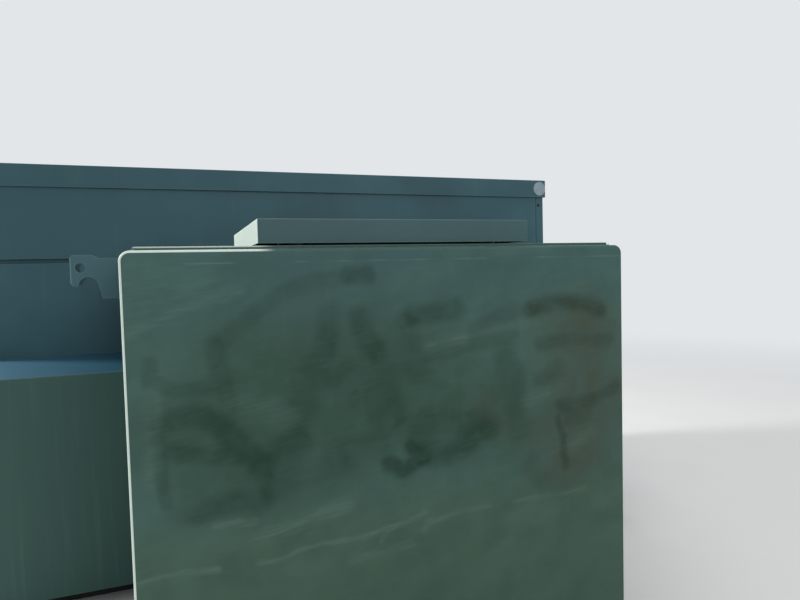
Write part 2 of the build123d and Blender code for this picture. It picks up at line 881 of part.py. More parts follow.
with BuildPart() as hood_bolts:
    for skin_y, outward in ((rear_y, 1), (front_y, -1)):
        with BuildSketch(Plane.XZ.offset(-skin_y)):
            with Locations(*hood_bolt_points):
                Circle(hood_bolt_head)
        extrude(amount=outward * panel_sheet)
        with BuildSketch(Plane.XZ.offset(-skin_y)):
            with Locations(*hood_bolt_points):
                Circle(hood_bolt_radius - hinge_running_gap)
        extrude(amount=-outward * 4 * panel_sheet)
    heads = hood_bolts.faces().filter_by(Axis.Y).sort_by(Axis.Y)
    chamfer(heads[:2].edges() + heads[-2:].edges(), hood_bolt_chamfer)
keep(hood_bolts, "hood_bolts")

# Roof: a folded cap with a deep drip flange, a hem and a shallow hipped crown
roof_width = cabinet_width + 2 * roof_overhang
roof_depth = cabinet_depth + 2 * roof_overhang

with BuildPart() as roof_cap:
    with BuildSketch(Plane.XY.offset(flange_bottom)):
        with Locations((0, cabinet_mid_y)):
            Rectangle(roof_width, roof_depth)
    extrude(amount=roof_flange)
    fillet(roof_cap.edges().filter_by(Axis.Z), roof_bend)
    fillet(roof_cap.faces().sort_by(Axis.Z)[-1].edges(), roof_bend - 1)
    for height, inset in (
        (roof_edge_height, roof_bend),
        (roof_edge_height + roof_crown, crown_run),
    ):
        with BuildSketch(Plane.XY.offset(height)):
            with Locations((0, cabinet_mid_y)):
                Rectangle(roof_width - 2 * inset, roof_depth - 2 * inset)
    loft()
    with BuildSketch(Plane.XY.offset(flange_bottom)):
        with Locations((0, cabinet_mid_y)):
            Rectangle(
                roof_width - 2 * (panel_sheet + roof_hem),
                roof_depth - 2 * (panel_sheet + roof_hem),
            )
    extrude(amount=panel_sheet, mode=Mode.SUBTRACT)
    with BuildSketch(Plane.XY.offset(flange_bottom + panel_sheet)):
        with Locations((0, cabinet_mid_y)):
            Rectangle(roof_width - 2 * panel_sheet, roof_depth - 2 * panel_sheet)
    extrude(amount=roof_flange - 2 * panel_sheet, mode=Mode.SUBTRACT)
    for height, inset in (
        (roof_under, roof_bend + roof_overhang + panel_sheet),
        (roof_under + roof_crown, crown_run),
    ):
        with BuildSketch(Plane.XY.offset(height)):
            with Locations((0, cabinet_mid_y)):
                Rectangle(roof_width - 2 * inset, roof_depth - 2 * inset)
    loft(mode=Mode.SUBTRACT)
keep(roof_cap, "roof_cap")

disc_x = roof_width / 2 - disc_edge_gap - disc_radius
disc_z = flange_bottom + roof_flange / 2
with BuildPart() as roof_disc:
    with BuildSketch(Plane.XZ.offset(-(rear_y - roof_overhang))):
        with Locations((disc_x, disc_z)):
            Circle(disc_radius)
    extrude(amount=disc_thickness)
    chamfer(roof_disc.faces().sort_by(Axis.Y)[0].edges(), disc_thickness / 3)
keep(roof_disc, "roof_disc")


# Hood hinges: leaves welded to the tank's shoulder and to the hood's back wall
def along_x(start, end, y, z, radius, mode=Mode.ADD):
    """A round bar along X, in the open part."""
    with Locations(Location(((start + end) / 2, y, z))):
        Cylinder(radius, end - start, rotation=(0, 90, 0), mode=mode)


hood_hinge_starts = [
    side * hood_hinge_spacing / 2 - hood_hinge_length / 2 for side in (-1, 1)
]
hood_bore = hinge_pin_radius + hinge_running_gap
with BuildPart() as hood_hinge_leaves:
    for start in hood_hinge_starts:
        end = start + hood_hinge_length
        quarter = hood_hinge_length / 4
        for a, b in ((start, start + quarter), (end - quarter, end)):
            along_x(a, b, hood_axis_y, hood_axis_z, hood_hinge_radius)
            block(
                (a, hood_axis_y - hood_hinge_radius / 2, tank_shoulder),
                (b, hood_axis_y + hood_hinge_radius / 2, hood_axis_z),
            )
        block(
            (start, wall_y - cover_inset + hood_leaf_clearance, tank_shoulder),
            (end, wall_y - tank_bend, tank_shoulder + hood_hinge_leaf),
        )
        along_x(start, end, hood_axis_y, hood_axis_z, hood_bore, Mode.SUBTRACT)
keep(hood_hinge_leaves, "hood_hinge_leaves")

with BuildPart() as hood_hinge_straps:
    for start in hood_hinge_starts:
        end = start + hood_hinge_length
        quarter = hood_hinge_length / 4
        a = start + quarter + hinge_knuckle_gap
        b = end - quarter - hinge_knuckle_gap
        along_x(a, b, hood_axis_y, hood_axis_z, hood_hinge_radius)
        block((a, hood_axis_y, hood_axis_z), (b, rear_y, hood_bottom + hood_hinge_leaf))
        block(
            (start, rear_y - hood_hinge_leaf, hood_bottom),
            (end, rear_y, hood_bottom + hood_hinge_leaf_height),
        )
        along_x(a, b, hood_axis_y, hood_axis_z, hood_bore, Mode.SUBTRACT)
keep(hood_hinge_straps, "hood_hinge_straps")

# Rubber rests for the hood on the door frame's head
with BuildPart() as hood_bumpers:
    with BuildSketch(Plane.XY.offset(body_top - panel_sheet)):
        for side in (-1, 1):
            with Locations((side * bumper_spacing / 2, (frame_front_y + frame_back_y) / 2)):
                Circle(bumper_radius)
    extrude(amount=seam_gap + panel_sheet - bumper_clearance)
keep(hood_bumpers, "hood_bumpers")


# Door hinges: three knuckled hinges a side, with their leaves and pins
def upright(x, y, low, high, radius, mode=Mode.ADD):
    """A round bar along Z, in the open part."""
    with Locations(Location((x, y, (low + high) / 2))):
        Cylinder(radius, high - low, mode=mode)


hinge_heights = [
    door_bottom + hinge_end_distance,
    door_mid_z,
    door_top - hinge_end_distance,
]
hinge_bore = hinge_pin_radius + hinge_running_gap
with BuildPart() as door_hinge_leaves:
    for side in (-1, 1):
        for middle in hinge_heights:
            low = middle - hinge_length / 2
            high = middle + hinge_length / 2
            third = hinge_length / 3
            for a, b in ((low, low + third), (high - third, high)):
                upright(side * hinge_x, hinge_y, a, b, hinge_knuckle_radius)
            inner = side * half_width
            outer = side * (half_width + hinge_leaf)
            block(
                (min(inner, outer), frame_front_y - hinge_side_leaf, low),
                (max(inner, outer), front_y - door_depth, high),
            )
            for a, b in ((low, low + third), (high - third, high)):
                block((min(inner, outer), front_y - door_depth, a), (max(inner, outer), hinge_y, b))
            upright(side * hinge_x, hinge_y, low, high, hinge_bore, Mode.SUBTRACT)
keep(door_hinge_leaves, "door_hinge_leaves")

with BuildPart() as hinge_pins:
    for side in (-1, 1):
        for middle in hinge_heights:
            low = middle - hinge_length / 2
            upright(side * hinge_x, hinge_y, low, low + hinge_length, hinge_pin_radius)
    for start in hood_hinge_starts:
        along_x(start, start + hood_hinge_length, hood_axis_y, hood_axis_z, hinge_pin_radius)
keep(hinge_pins, "hinge_pins")


def hinge_straps(side):
    """The door's half of its three hinges, in the open part."""
    third = hinge_length / 3
    neck = side * (half_width - hinge_knuckle_radius / 2)
    tip = side * (half_width - hinge_door_leaf)
    near = side * hinge_x
    for middle in hinge_heights:
        low = middle - hinge_length / 2
        a = low + third + hinge_knuckle_gap
        b = low + 2 * third - hinge_knuckle_gap
        upright(near, hinge_y, a, b, hinge_knuckle_radius)
        block((min(neck, near), front_y, a), (max(neck, near), front_y + hinge_leaf, b))
        block(
            (min(neck, tip), front_y, low),
            (max(neck, tip), front_y + hinge_leaf, low + hinge_length),
        )
        upright(near, hinge_y, a, b, hinge_bore, Mode.SUBTRACT)


# Doors: folded pans with a return, hat ribs and welded guides for the rods
handle_x = handle_inset
cam_back_y = rod_y + latch_rod_radius + latch_cam_gap
cam_front_y = cam_back_y + latch_cam_thickness
latch_bow = latch_throw * latch_bow_share
guide_half = latch_rod_radius + latch_rod_gap + latch_guide_wall
guide_heights = [
    frame_head_z - latch_guide_end,
    handle_height + latch_guide_inner,
    handle_height - latch_guide_inner,
    frame_sill_z + latch_guide_end,
]


def door(side, name):
    """One service door, hinged at its outer edge."""
    x = side * handle_x
    with BuildPart() as pan:
        with BuildSketch(Plane.XZ.offset(-front_y)):
            with Locations((side * door_mid_x, door_mid_z)):
                RectangleRounded(door_width, door_height, door_bend)
        extrude(amount=door_depth)
        fillet(pan.faces().sort_by(Axis.Y)[-1].edges(), door_bend - 1)
        with BuildSketch(Plane.XZ.offset(-(front_y - door_sheet))):
            with Locations((side * door_mid_x, door_mid_z)):
                Rectangle(door_width - 2 * door_sheet, door_height - 2 * door_sheet)
        extrude(amount=door_depth - 2 * door_sheet, mode=Mode.SUBTRACT)
        with BuildSketch(Plane.XZ.offset(-(front_y - door_sheet))):
            with Locations((side * door_mid_x, door_mid_z)):
                Rectangle(door_width - 2 * door_return, door_height - 2 * door_return)
        extrude(amount=door_depth, mode=Mode.SUBTRACT)
        for share in door_rib_shares:
            rib = side * door_width * share
            low = (rib - door_rib_width / 2, front_y - door_sheet - door_rib_depth, door_bottom)
            high = (rib + door_rib_width / 2, front_y - door_sheet, door_top)
            block(
                (low[0], low[1], low[2] + door_sheet),
                (high[0], high[1], high[2] - door_sheet),
            )
            block(
                (low[0] + door_sheet, low[1] + door_sheet, low[2] + door_sheet),
                (high[0] - door_sheet, high[1], high[2] - door_sheet),
                Mode.SUBTRACT,
            )
        for height in guide_heights:
            block(
                (x - guide_half, rod_y - guide_half, height),
                (x + guide_half, front_y - door_sheet, height + latch_guide_thickness),
            )
            upright(
                x,
                rod_y,
                height,
                height + latch_guide_thickness,
                latch_rod_radius + latch_rod_gap,
                Mode.SUBTRACT,
            )
        with BuildSketch(Plane.XZ.offset(-front_y)):
            with Locations((x, handle_height)):
                Circle(handle_shaft_radius + latch_rod_gap)
        extrude(amount=door_sheet, mode=Mode.SUBTRACT)
        hinge_straps(side)
    keep(pan, name)


# Handle plate with the shaft's hole, a five-sided security bolt in its round
# shroud, and an ear that meets the turned lever
def handle_plate(side, name):
    """The plate on the door's face under the handle."""
    x = side * handle_x
    ear_x = x + side * handle_lever
    far_x = ear_x + side * handle_end_radius
    web_x = far_x + side * ear_thickness
    ear_y = front_y + handle_standoff - ear_gap
    bolt_x = x + side * handle_lever / 2
    half = escutcheon_width / 2
    with BuildPart() as plate:
        block(
            (min(x - side * half, web_x), front_y, handle_height - half),
            (max(x - side * half, web_x), front_y + escutcheon_thickness, handle_height + half),
        )
        block(
            (min(far_x, web_x), front_y, handle_height - handle_end_radius),
            (max(far_x, web_x), ear_y, handle_height + handle_end_radius),
        )
        block(
            (
                min(ear_x - side * handle_end_radius, far_x),
                ear_y - ear_thickness,
                handle_height - handle_end_radius,
            ),
            (
                max(ear_x - side * handle_end_radius, far_x),
                ear_y,
                handle_height + handle_end_radius,
            ),
        )
        with BuildSketch(Plane.XZ.offset(-front_y)):
            with Locations((x, handle_height)):
                Circle(handle_shaft_radius + hinge_running_gap)
        extrude(amount=-escutcheon_thickness, mode=Mode.SUBTRACT)
        with BuildSketch(Plane.XZ.offset(-(ear_y - ear_thickness))):
            with Locations((ear_x, handle_height)):
                Circle(handle_hole_radius)
        extrude(amount=-ear_thickness, mode=Mode.SUBTRACT)
        with BuildSketch(Plane.XZ.offset(-front_y)):
            with Locations((bolt_x, handle_height)):
                Circle(bolt_shroud_radius)
        extrude(amount=-(escutcheon_thickness + bolt_height))
        with BuildSketch(Plane.XZ.offset(-(front_y + escutcheon_thickness))):
            with Locations((bolt_x, handle_height)):
                Circle(bolt_shroud_radius - bolt_shroud_wall)
                RegularPolygon(bolt_head_radius, 5, mode=Mode.SUBTRACT)
        extrude(amount=-bolt_height, mode=Mode.SUBTRACT)
    keep(plate, name)


# Handle: a lever that hangs down unlatched, with its shaft through the door
def door_handle(side, name):
    """The lever, its hub and its shaft."""
    x = side * handle_x
    lever_y = front_y + handle_standoff
    with BuildPart() as lever:
        with BuildSketch(Plane.XZ.offset(-lever_y)):
            with BuildLine():
                Polyline(
                    (x - handle_hub_radius, handle_height),
                    (x - handle_end_radius, handle_height - handle_lever),
                )
                ThreePointArc(
                    (x - handle_end_radius, handle_height - handle_lever),
                    (x, handle_height - handle_lever - handle_end_radius),
                    (x + handle_end_radius, handle_height - handle_lever),
                )
                Polyline(
                    (x + handle_end_radius, handle_height - handle_lever),
                    (x + handle_hub_radius, handle_height),
                )
                ThreePointArc(
                    (x + handle_hub_radius, handle_height),
                    (x, handle_height + handle_hub_radius),
                    (x - handle_hub_radius, handle_height),
                )
            make_face()
        extrude(amount=-handle_thickness)
        fillet(lever.faces().sort_by(Axis.Y)[-1].edges(), handle_round)
        with BuildSketch(Plane.XZ.offset(-(front_y + escutcheon_thickness + latch_rod_gap))):
            with Locations((x, handle_height)):
                Circle(handle_boss_radius)
        extrude(amount=-(handle_standoff - escutcheon_thickness))
        with BuildSketch(Plane.XZ.offset(-cam_front_y)):
            with Locations((x, handle_height)):
                Circle(handle_shaft_radius)
        extrude(amount=-(lever_y - cam_front_y))
        with BuildSketch(Plane.XZ.offset(-lever_y)):
            with Locations((x, handle_height - handle_lever)):
                Circle(handle_hole_radius)
        extrude(amount=-handle_thickness, mode=Mode.SUBTRACT)
    keep(lever, name)


# Cam: a two-armed plate on the shaft, whose pins drive the rods
def latch_cam(side, name):
    """The cam plate; its upper-rod pin is on the hinge side at rest."""
    x = side * handle_x
    with BuildPart() as cam:
        with BuildSketch(Plane.XZ.offset(-cam_back_y)):
            with Locations((x, handle_height)):
                SlotCenterToCenter(2 * latch_throw, 2 * (latch_pin_radius + latch_cam_margin))
        extrude(amount=-latch_cam_thickness)
        for pin_x, end_y in (
            (x + side * latch_throw, rod_y + latch_plane_offset / 2),
            (x - side * latch_throw, rod_y - latch_strap - 2 * latch_plane_offset),
        ):
            with BuildSketch(Plane.XZ.offset(-cam_back_y)):
                with Locations((pin_x, handle_height)):
                    Circle(latch_pin_radius)
            extrude(amount=cam_back_y - end_y)
    keep(cam, name)


# Rods: each ends in a flat strap whose slot rides on one cam pin
def latch_rod(side, up, name):
    """One rod, up (+1) or down (-1), withdrawn at rest."""
    x = side * handle_x
    margin = latch_pin_radius + latch_slot_slack
    slot_near = x - side * up * margin
    slot_far = x + side * up * (latch_throw + margin)
    slot_low = handle_height - up * margin
    slot_high = handle_height + up * (margin + latch_bow)
    rim = latch_rod_radius
    strap_y = rod_y + up * latch_plane_offset
    strap_end_y = strap_y + up * latch_strap
    rod_start = handle_height + up * (2 * margin + latch_slot_slack)
    tip = frame_head_z - latch_tip_clearance if up > 0 else frame_sill_z + latch_tip_clearance
    ends = sorted((slot_near - side * up * rim, slot_far + side * up * rim))
    heights = sorted((slot_low - up * rim, slot_high + up * rim))
    slot_x = sorted((slot_near, slot_far))
    slot_z = sorted((slot_low, slot_high))
    faces = sorted((strap_y, strap_end_y))
    with BuildPart() as rod:
        block((ends[0], faces[0], heights[0]), (ends[1], faces[1], heights[1]))
        upright(x, rod_y, min(rod_start, tip), max(rod_start, tip), latch_rod_radius)
        block(
            (slot_x[0], faces[0], slot_z[0]),
            (slot_x[1], faces[1], slot_z[1]),
            Mode.SUBTRACT,
        )
        chamfer(rod.faces().sort_by(Axis.Z)[-1 if up > 0 else 0].edges(), latch_rod_chamfer)
    keep(rod, name)


for side, hand in ((-1, "left"), (1, "right")):
    door(side, f"door_{hand}")
    handle_plate(side, f"handle_plate_{hand}")
    door_handle(side, f"door_handle_{hand}")
    latch_cam(side, f"latch_cam_{hand}")
    latch_rod(side, 1, f"latch_rod_upper_{hand}")
    latch_rod(side, -1, f"latch_rod_lower_{hand}")


# Turned fittings: a (radius, distance from the wall) outline about a Y line
def turned(points):
    """Revolve an outline about the Y axis."""
    with BuildPart() as fitting:
        with BuildSketch():
            with BuildLine():
                Polyline(*points, close=True)
            make_face()
        revolve(axis=Axis.Y)
    return fitting.part


def on_wall(points):
    """Places on the tank wall for a list of (x, z) points."""
    return [(x, wall_y, z) for x, z in points]


shank_depth = tank_wall + bushing_shank_reach
hv_lip_start = hv_neck_length + fitting_step
hv_lip_end = hv_neck_length + hv_lip_length
hv_well = turned(
    [
        (0, -shank_depth),
        (bushing_shank_radius, -shank_depth),
        (bushing_shank_radius, 0),
        (hv_flange_radius, 0),
        (hv_flange_radius, hv_flange_thickness),
        (hv_root_radius, hv_flange_thickness + fitting_step),
        (hv_neck_radius, hv_neck_length),
        (hv_lip_radius, hv_lip_start),
        (hv_lip_radius, hv_lip_end),
        (hv_mouth_radius, hv_lip_end + hv_mouth_length),
        (0, hv_lip_end + hv_mouth_length),
    ]
)
with BuildPart() as hv_bushings:
    with Locations(*on_wall(hv_points)):
        add(hv_well)
keep(hv_bushings, "hv_bushings")

lv_shed_start = lv_flange_thickness + fitting_step
lv_sheds = []
for i in range(lv_shed_count):
    low = lv_shed_start + i * lv_shed_pitch
    lv_sheds += [(lv_core_radius, low), (lv_shed_radius, low + lv_shed_rise)]
lv_insulator = turned(
    [
        (0, -shank_depth),
        (bushing_shank_radius, -shank_depth),
        (bushing_shank_radius, 0),
        (lv_flange_radius, 0),
        (lv_flange_radius, lv_flange_thickness),
        *lv_sheds,
        (lv_core_radius, lv_shed_start + lv_shed_count * lv_shed_pitch),
        (lv_tip_radius, lv_insulator_length),
        (0, lv_insulator_length),
    ]
)
with BuildPart() as lv_bushings:
    with Locations(*on_wall(lv_points)):
        add(lv_insulator)
keep(lv_bushings, "lv_bushings")

spade_start = wall_y + lv_insulator_length + spade_neck
with BuildPart() as lv_spades:
    for x, z in lv_points:
        with Locations(Location((x, spade_start - spade_neck / 2, z))):
            Cylinder(spade_neck_radius, spade_neck, rotation=(90, 0, 0))
        block(
            (x - spade_thickness / 2, spade_start, z - spade_width / 2),
            (x + spade_thickness / 2, spade_start + spade_length, z + spade_width / 2),
        )
        with Locations(Location((x, spade_start + spade_length - spade_hole_pitch, z), (0, 90, 0))):
            with GridLocations(spade_width / 2, spade_hole_pitch, 2, 2):
                Cylinder(spade_hole_radius, 2 * spade_thickness, mode=Mode.SUBTRACT)
keep(lv_spades, "lv_spades")

dial_body = turned(
    [
        (0, 0),
        (gauge_stem_radius, 0),
        (gauge_stem_radius, gauge_stem_length),
        (gauge_radius, gauge_stem_length + gauge_taper),
        (gauge_radius, gauge_depth),
        (gauge_radius - gauge_bezel, gauge_depth),
        (gauge_radius - gauge_bezel - gauge_bezel_slope, gauge_depth - gauge_recess),
        (0, gauge_depth - gauge_recess),
    ]
)
gauge_height = body_top - gauge_drop
gauge_points = [
    (-lv_bushing_first, gauge_height),
    (-lv_bushing_first - gauge_share * lv_bushing_spacing, gauge_height),
]
with BuildPart() as dial_gauges:
    with Locations(*on_wall(gauge_points)):
        add(dial_body)
keep(dial_gauges, "dial_gauges")

relief_body_start = relief_neck_length + relief_taper
relief_body_end = relief_body_start + relief_body_length
relief_cap_start = relief_body_end + relief_cap_slope
relief_body = turned(
    [
        (0, 0),
        (relief_neck_radius, 0),
        (relief_neck_radius, relief_neck_length),
        (relief_body_radius, relief_body_start),
        (relief_body_radius, relief_body_end),
        (relief_cap_radius, relief_cap_start),
        (relief_cap_radius, relief_cap_start + relief_cap_length),
        (0, relief_cap_start + relief_cap_length),
    ]
)
relief_x = -lv_bushing_first - relief_share * lv_bushing_spacing
with BuildPart() as relief_valve:
    with Locations((relief_x, wall_y, gauge_height)):
        add(relief_body)
keep(relief_valve, "relief_valve")

# Controls: the switch between the first two bushings, the tap changer between
# the last two
switch_x = hv_bushing_first + switch_share * hv_bushing_spacing
tap_x = hv_bushing_first + tap_share * hv_bushing_spacing
control_height = body_top - control_drop
control_bore = control_shaft_radius + hinge_running_gap
gland_body = turned(
    [
        (control_bore, 0),
        (control_gland_radius, 0),
        (control_gland_radius - control_gland_slope, control_gland_depth),
        (control_bore, control_gland_depth),
    ]
)
with BuildPart() as control_glands:
    with Locations(*on_wall([(switch_x, control_height), (tap_x, control_height)])):
        add(gland_body)
keep(control_glands, "control_glands")

hub_radius = control_gland_radius - control_hub_inset
hub_start = control_gland_depth + control_gap
control_hub = turned(
    [
        (0, control_gap),
        (control_shaft_radius, control_gap),
        (control_shaft_radius, hub_start),
        (hub_radius, hub_start),
        (hub_radius, hub_start + control_hub_length),
        (0, hub_start + control_hub_length),
    ]
)
control_face_y = wall_y + control_gland_depth + lever_gap
with BuildPart() as switch_handle:
    with Locations((switch_x, wall_y, control_height)):
        add(control_hub)
    with BuildSketch(Plane.XZ.offset(-control_face_y)):
        with Locations((switch_x, control_height - switch_lever / 2)):
            SlotOverall(switch_lever, switch_lever_width, rotation=90)
    extrude(amount=-switch_lever_thickness)
keep(switch_handle, "switch_handle")

with BuildPart() as tap_handle:
    with Locations((tap_x, wall_y, control_height)):
        add(control_hub)
    with BuildSketch(Plane.XZ.offset(-control_face_y)):
        with Locations((tap_x, control_height)):
            SlotOverall(tap_lever, tap_lever_width, rotation=90)
    extrude(amount=-tap_lever_thickness)
keep(tap_handle, "tap_handle")

# Drain valve: a stub pipe with a body, and a spoked wheel above it
valve_x = -valve_offset
valve_y = wall_y + valve_reach
stem_top = valve_height + valve_stem_height
valve_outlet_y = valve_reach + valve_outlet_start
valve_body = turned(
    [
        (0, 0),
        (valve_flange_radius, 0),
        (valve_flange_radius, valve_flange_thickness),
        (valve_pipe_radius, valve_flange_thickness + valve_taper),
        (valve_pipe_radius, valve_reach - valve_body_half - valve_taper),
        (valve_body_radius, valve_reach - valve_body_half),
        (valve_body_radius, valve_reach + valve_body_half),
        (valve_pipe_radius, valve_reach + valve_body_half + valve_taper),
        (valve_pipe_radius, valve_outlet_y),
        (valve_outlet_radius, valve_outlet_y + valve_taper),
        (valve_outlet_radius, valve_outlet_y + valve_taper + valve_outlet_length),
        (0, valve_outlet_y + valve_taper + valve_outlet_length),
    ]
)
with BuildPart() as drain_valve:
    with Locations((valve_x, wall_y, valve_height)):
        add(valve_body)
    upright(
        valve_x, valve_y, valve_height, valve_height + valve_bonnet_height, valve_bonnet_radius
    )
    upright(valve_x, valve_y, valve_height, stem_top, valve_stem_radius)
keep(drain_valve, "drain_valve")

spoke_ring = valve_wheel_radius - valve_wheel_rim / 2
with BuildPart() as valve_wheel:
    with BuildSketch(Plane.XY.offset(stem_top - valve_wheel_drop)):
        with Locations((valve_x, valve_y)):
            Circle(valve_wheel_radius)
            Circle(valve_wheel_radius - valve_wheel_rim, mode=Mode.SUBTRACT)
            with PolarLocations(spoke_ring / 2, 4):
                Rectangle(spoke_ring, valve_spoke_width)
            Circle(valve_hub_radius)
            Circle(valve_stem_radius + hinge_running_gap, mode=Mode.SUBTRACT)
    extrude(amount=valve_wheel_thickness)
keep(valve_wheel, "valve_wheel")

# Ground bar on two stand-off feet along the foot of the tank wall
bar_low = base_height + ground_bar_height
bar_high = bar_low + ground_bar_height
bar_y = wall_y + ground_bar_standoff
bar_end = ground_bar_start + ground_bar_length
with BuildPart() as ground_bar:
    block((ground_bar_start, bar_y, bar_low), (bar_end, bar_y + ground_bar_thickness, bar_high))
    for x in (ground_bar_start + ground_foot_inset, bar_end - ground_foot_inset):
        block(
            (x - ground_foot_width / 2, wall_y, bar_low),
            (x + ground_foot_width / 2, bar_y, bar_high),
        )
    with BuildSketch(Plane.XZ.offset(-bar_y)):
        with Locations(((ground_bar_start + bar_end) / 2, (bar_low + bar_high) / 2)):
            with GridLocations(ground_hole_pitch, 1, ground_hole_count, 1):
                Circle(ground_hole_radius)
    extrude(amount=-ground_bar_thickness, mode=Mode.SUBTRACT)
keep(ground_bar, "ground_bar")

# Three-limb core on its feet, and a winding round each limb
core_width = 3 * limb_width + 2 * core_window_width
core_bottom = base_height + tank_wall + core_foot_height
core_height = core_window_height + 2 * limb_width
limb_pitch = limb_width + core_window_width
with BuildPart() as core:
    with BuildSketch(Plane.XZ.offset(-(tank_mid_y - core_depth / 2))):
        with Locations((0, core_bottom + core_height / 2)):
            Rectangle(core_width, core_height)
            with GridLocations(limb_pitch, 1, 2, 1):
                Rectangle(core_window_width, core_window_height, mode=Mode.SUBTRACT)
    extrude(amount=-core_depth)
    for x in (-limb_pitch, limb_pitch):
        block(
            (x - limb_width / foot_share, tank_mid_y - core_depth, base_height + tank_wall),
            (x + limb_width / foot_share, tank_mid_y + core_depth, core_bottom),
        )
keep(core, "core")

coil_low = core_bottom + limb_width + coil_end_gap
with BuildPart() as coils:
    for i in (-1, 0, 1):
        with BuildSketch(Plane.XY.offset(coil_low)):
            with Locations((i * limb_pitch, tank_mid_y)):
                RectangleRounded(
                    limb_width + 2 * (coil_clearance + coil_wall),
                    core_depth + 2 * (coil_clearance + coil_wall),
                    coil_wall,
                )
                Rectangle(
                    limb_width + 2 * coil_clearance,
                    core_depth + 2 * coil_clearance,
                    mode=Mode.SUBTRACT,
                )
        extrude(amount=core_window_height - 2 * coil_end_gap)
        for side in (-1, 1):
            x = i * limb_pitch + side * (limb_width / 2 + coil_clearance + coil_wall / 2)
            half_x = coil_wall / spacer_share
            half_y = core_depth / spacer_share
            block(
                (x - half_x, tank_mid_y - half_y, core_bottom + limb_width),
                (x + half_x, tank_mid_y + half_y, coil_low),
            )
keep(coils, "coils")
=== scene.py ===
import json
import math

import bmesh
import bpy
from mathutils import Matrix, Vector


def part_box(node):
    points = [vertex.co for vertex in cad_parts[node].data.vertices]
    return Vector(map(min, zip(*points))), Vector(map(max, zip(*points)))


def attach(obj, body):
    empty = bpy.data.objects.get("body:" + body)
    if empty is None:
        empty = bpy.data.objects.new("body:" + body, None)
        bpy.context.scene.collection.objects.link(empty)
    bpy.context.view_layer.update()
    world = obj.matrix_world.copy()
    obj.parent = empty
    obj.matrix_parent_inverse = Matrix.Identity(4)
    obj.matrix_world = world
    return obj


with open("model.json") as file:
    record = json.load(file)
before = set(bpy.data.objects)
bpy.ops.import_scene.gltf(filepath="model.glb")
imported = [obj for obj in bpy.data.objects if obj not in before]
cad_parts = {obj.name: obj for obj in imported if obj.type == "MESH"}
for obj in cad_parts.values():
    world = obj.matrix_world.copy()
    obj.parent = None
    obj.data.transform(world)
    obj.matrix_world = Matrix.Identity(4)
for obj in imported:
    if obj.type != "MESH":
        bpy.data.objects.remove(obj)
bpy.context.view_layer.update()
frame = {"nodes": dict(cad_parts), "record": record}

bl_info = {
    "name": "Pad-mounted utility cabinet",
    "version": (1, 0, 0),
    "blender": (4, 5, 0),
    "location": "View3D > Sidebar > Cabinet",
    "description": "Finishes and fine pieces of a pad-mounted utility cabinet, and its studio",
    "category": "Object",
}

# Metres. X is the cabinet's width, +Y points to the service doors, Z is up.

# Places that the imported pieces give
tank_low, tank_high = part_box("tank_shell")
TANK_HALF = tank_high.x
TANK_FRONT = tank_low.y
TANK_TOP = tank_high.z
WALL_Y = tank_high.y
SIDE_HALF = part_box("step_box_right")[1].x
DIAL_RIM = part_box("dial_gauges")[1].y

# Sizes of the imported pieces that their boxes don't give
TANK_CORNER = 0.025  # bend of the tank's top edges
COVER_EDGE = 0.027  # from the tank's edge in to the cover plate's edge
HIGHLIGHT_LINE = TANK_TOP + 0.0065  # above it the 9 mm cover plate's edge gets a painted highlight
CAP_GAP = TANK_TOP + 0.012  # between the cover plate and the weather cap
FRONT_SKIN = 0.004  # how deep the front's marks reach round its bends
HV_RING = 0.0405  # circle of the bolts in a high-voltage flange
HV_FLANGE = 0.010  # its thickness
LV_RING = 0.0365  # the same of a low-voltage flange
LV_FLANGE = 0.009

# A dial: its card and what is on it, in metres and degrees
DIAL_RADIUS = 0.0405
CARD_SEAT = 0.004  # from the gauge's rim back to its card
CARD_DEPTH = 0.0004
TICK_LONG = 0.0075
TICK_SHORT = 0.0045
TICK_WIDTH = 0.0009
TICK_DEPTH = 0.0003
TICKS_A_STEP = 4  # every fourth tick is long
TICK_END = 0.90  # where the ticks end, as a share of the radius
DIAL_START = -45
DIAL_SWEEP = 270
NEEDLE_SIZE = (0.034, 0.0005, 0.0016)
NEEDLE_MIDDLE = 0.011
NEEDLE_ANGLE = 150

# The photograph's camera, solved from its edges, in metres, degrees and millimetres
CAMERA_PLACE = (-0.580, -2.4955, 1.1365)
CAMERA_YAW = 20.362
CAMERA_PITCH = -2.733
CAMERA_ROLL = 1.492
CAMERA_LENS = 27.0
CAMERA_SENSOR = 36.0

# The studio: a pale floor that fades into the backdrop between two distances
BACKDROP = "#e2e6e9"
FLOOR_SPAN = 40.0
FADE_FROM = 2.5
FADE_TO = 9.0
WORLD_LEVEL = 0.62
# Lamps: place, what each is aimed at, diameter in metres, watts. The key stands
# behind and to the left, as the sun did, and picks out the bends; the others
# are large and soft.
LAMPS = {
    "key": ((-5.2, 2.6, 4.2), (0, -0.3, 1.0), 1.4, 420),
    "fill": ((1.5, -6.0, 4.0), (0, 0, 0.8), 5.0, 130),
    "top": ((0.5, 0.0, 6.5), (0, 0, 0.5), 4.0, 90),
    "door_side": ((2.0, 6.5, 4.0), (0, 0.5, 0.8), 5.0, 70),
}

# Blender's names of the nodes that the finishes use
COORDS = "ShaderNodeTexCoord"
PARTS = "ShaderNodeSeparateXYZ"
MATH = "ShaderNodeMath"
VECTOR = "ShaderNodeVectorMath"
RAMP = "ShaderNodeMapRange"
MIX = "ShaderNodeMix"
NOISE = "ShaderNodeTexNoise"
BUMP = "ShaderNodeBump"
SOFT = {"interpolation_type": "SMOOTHSTEP"}


def linear(text):
    """An sRGB hex colour as the linear numbers that the shaders take."""
    channels = [int(text[i : i + 2], 16) / 255 for i in (1, 3, 5)]
    return [c / 12.92 if c <= 0.04045 else ((c + 0.055) / 1.055) ** 2.4 for c in channels] + [1.0]


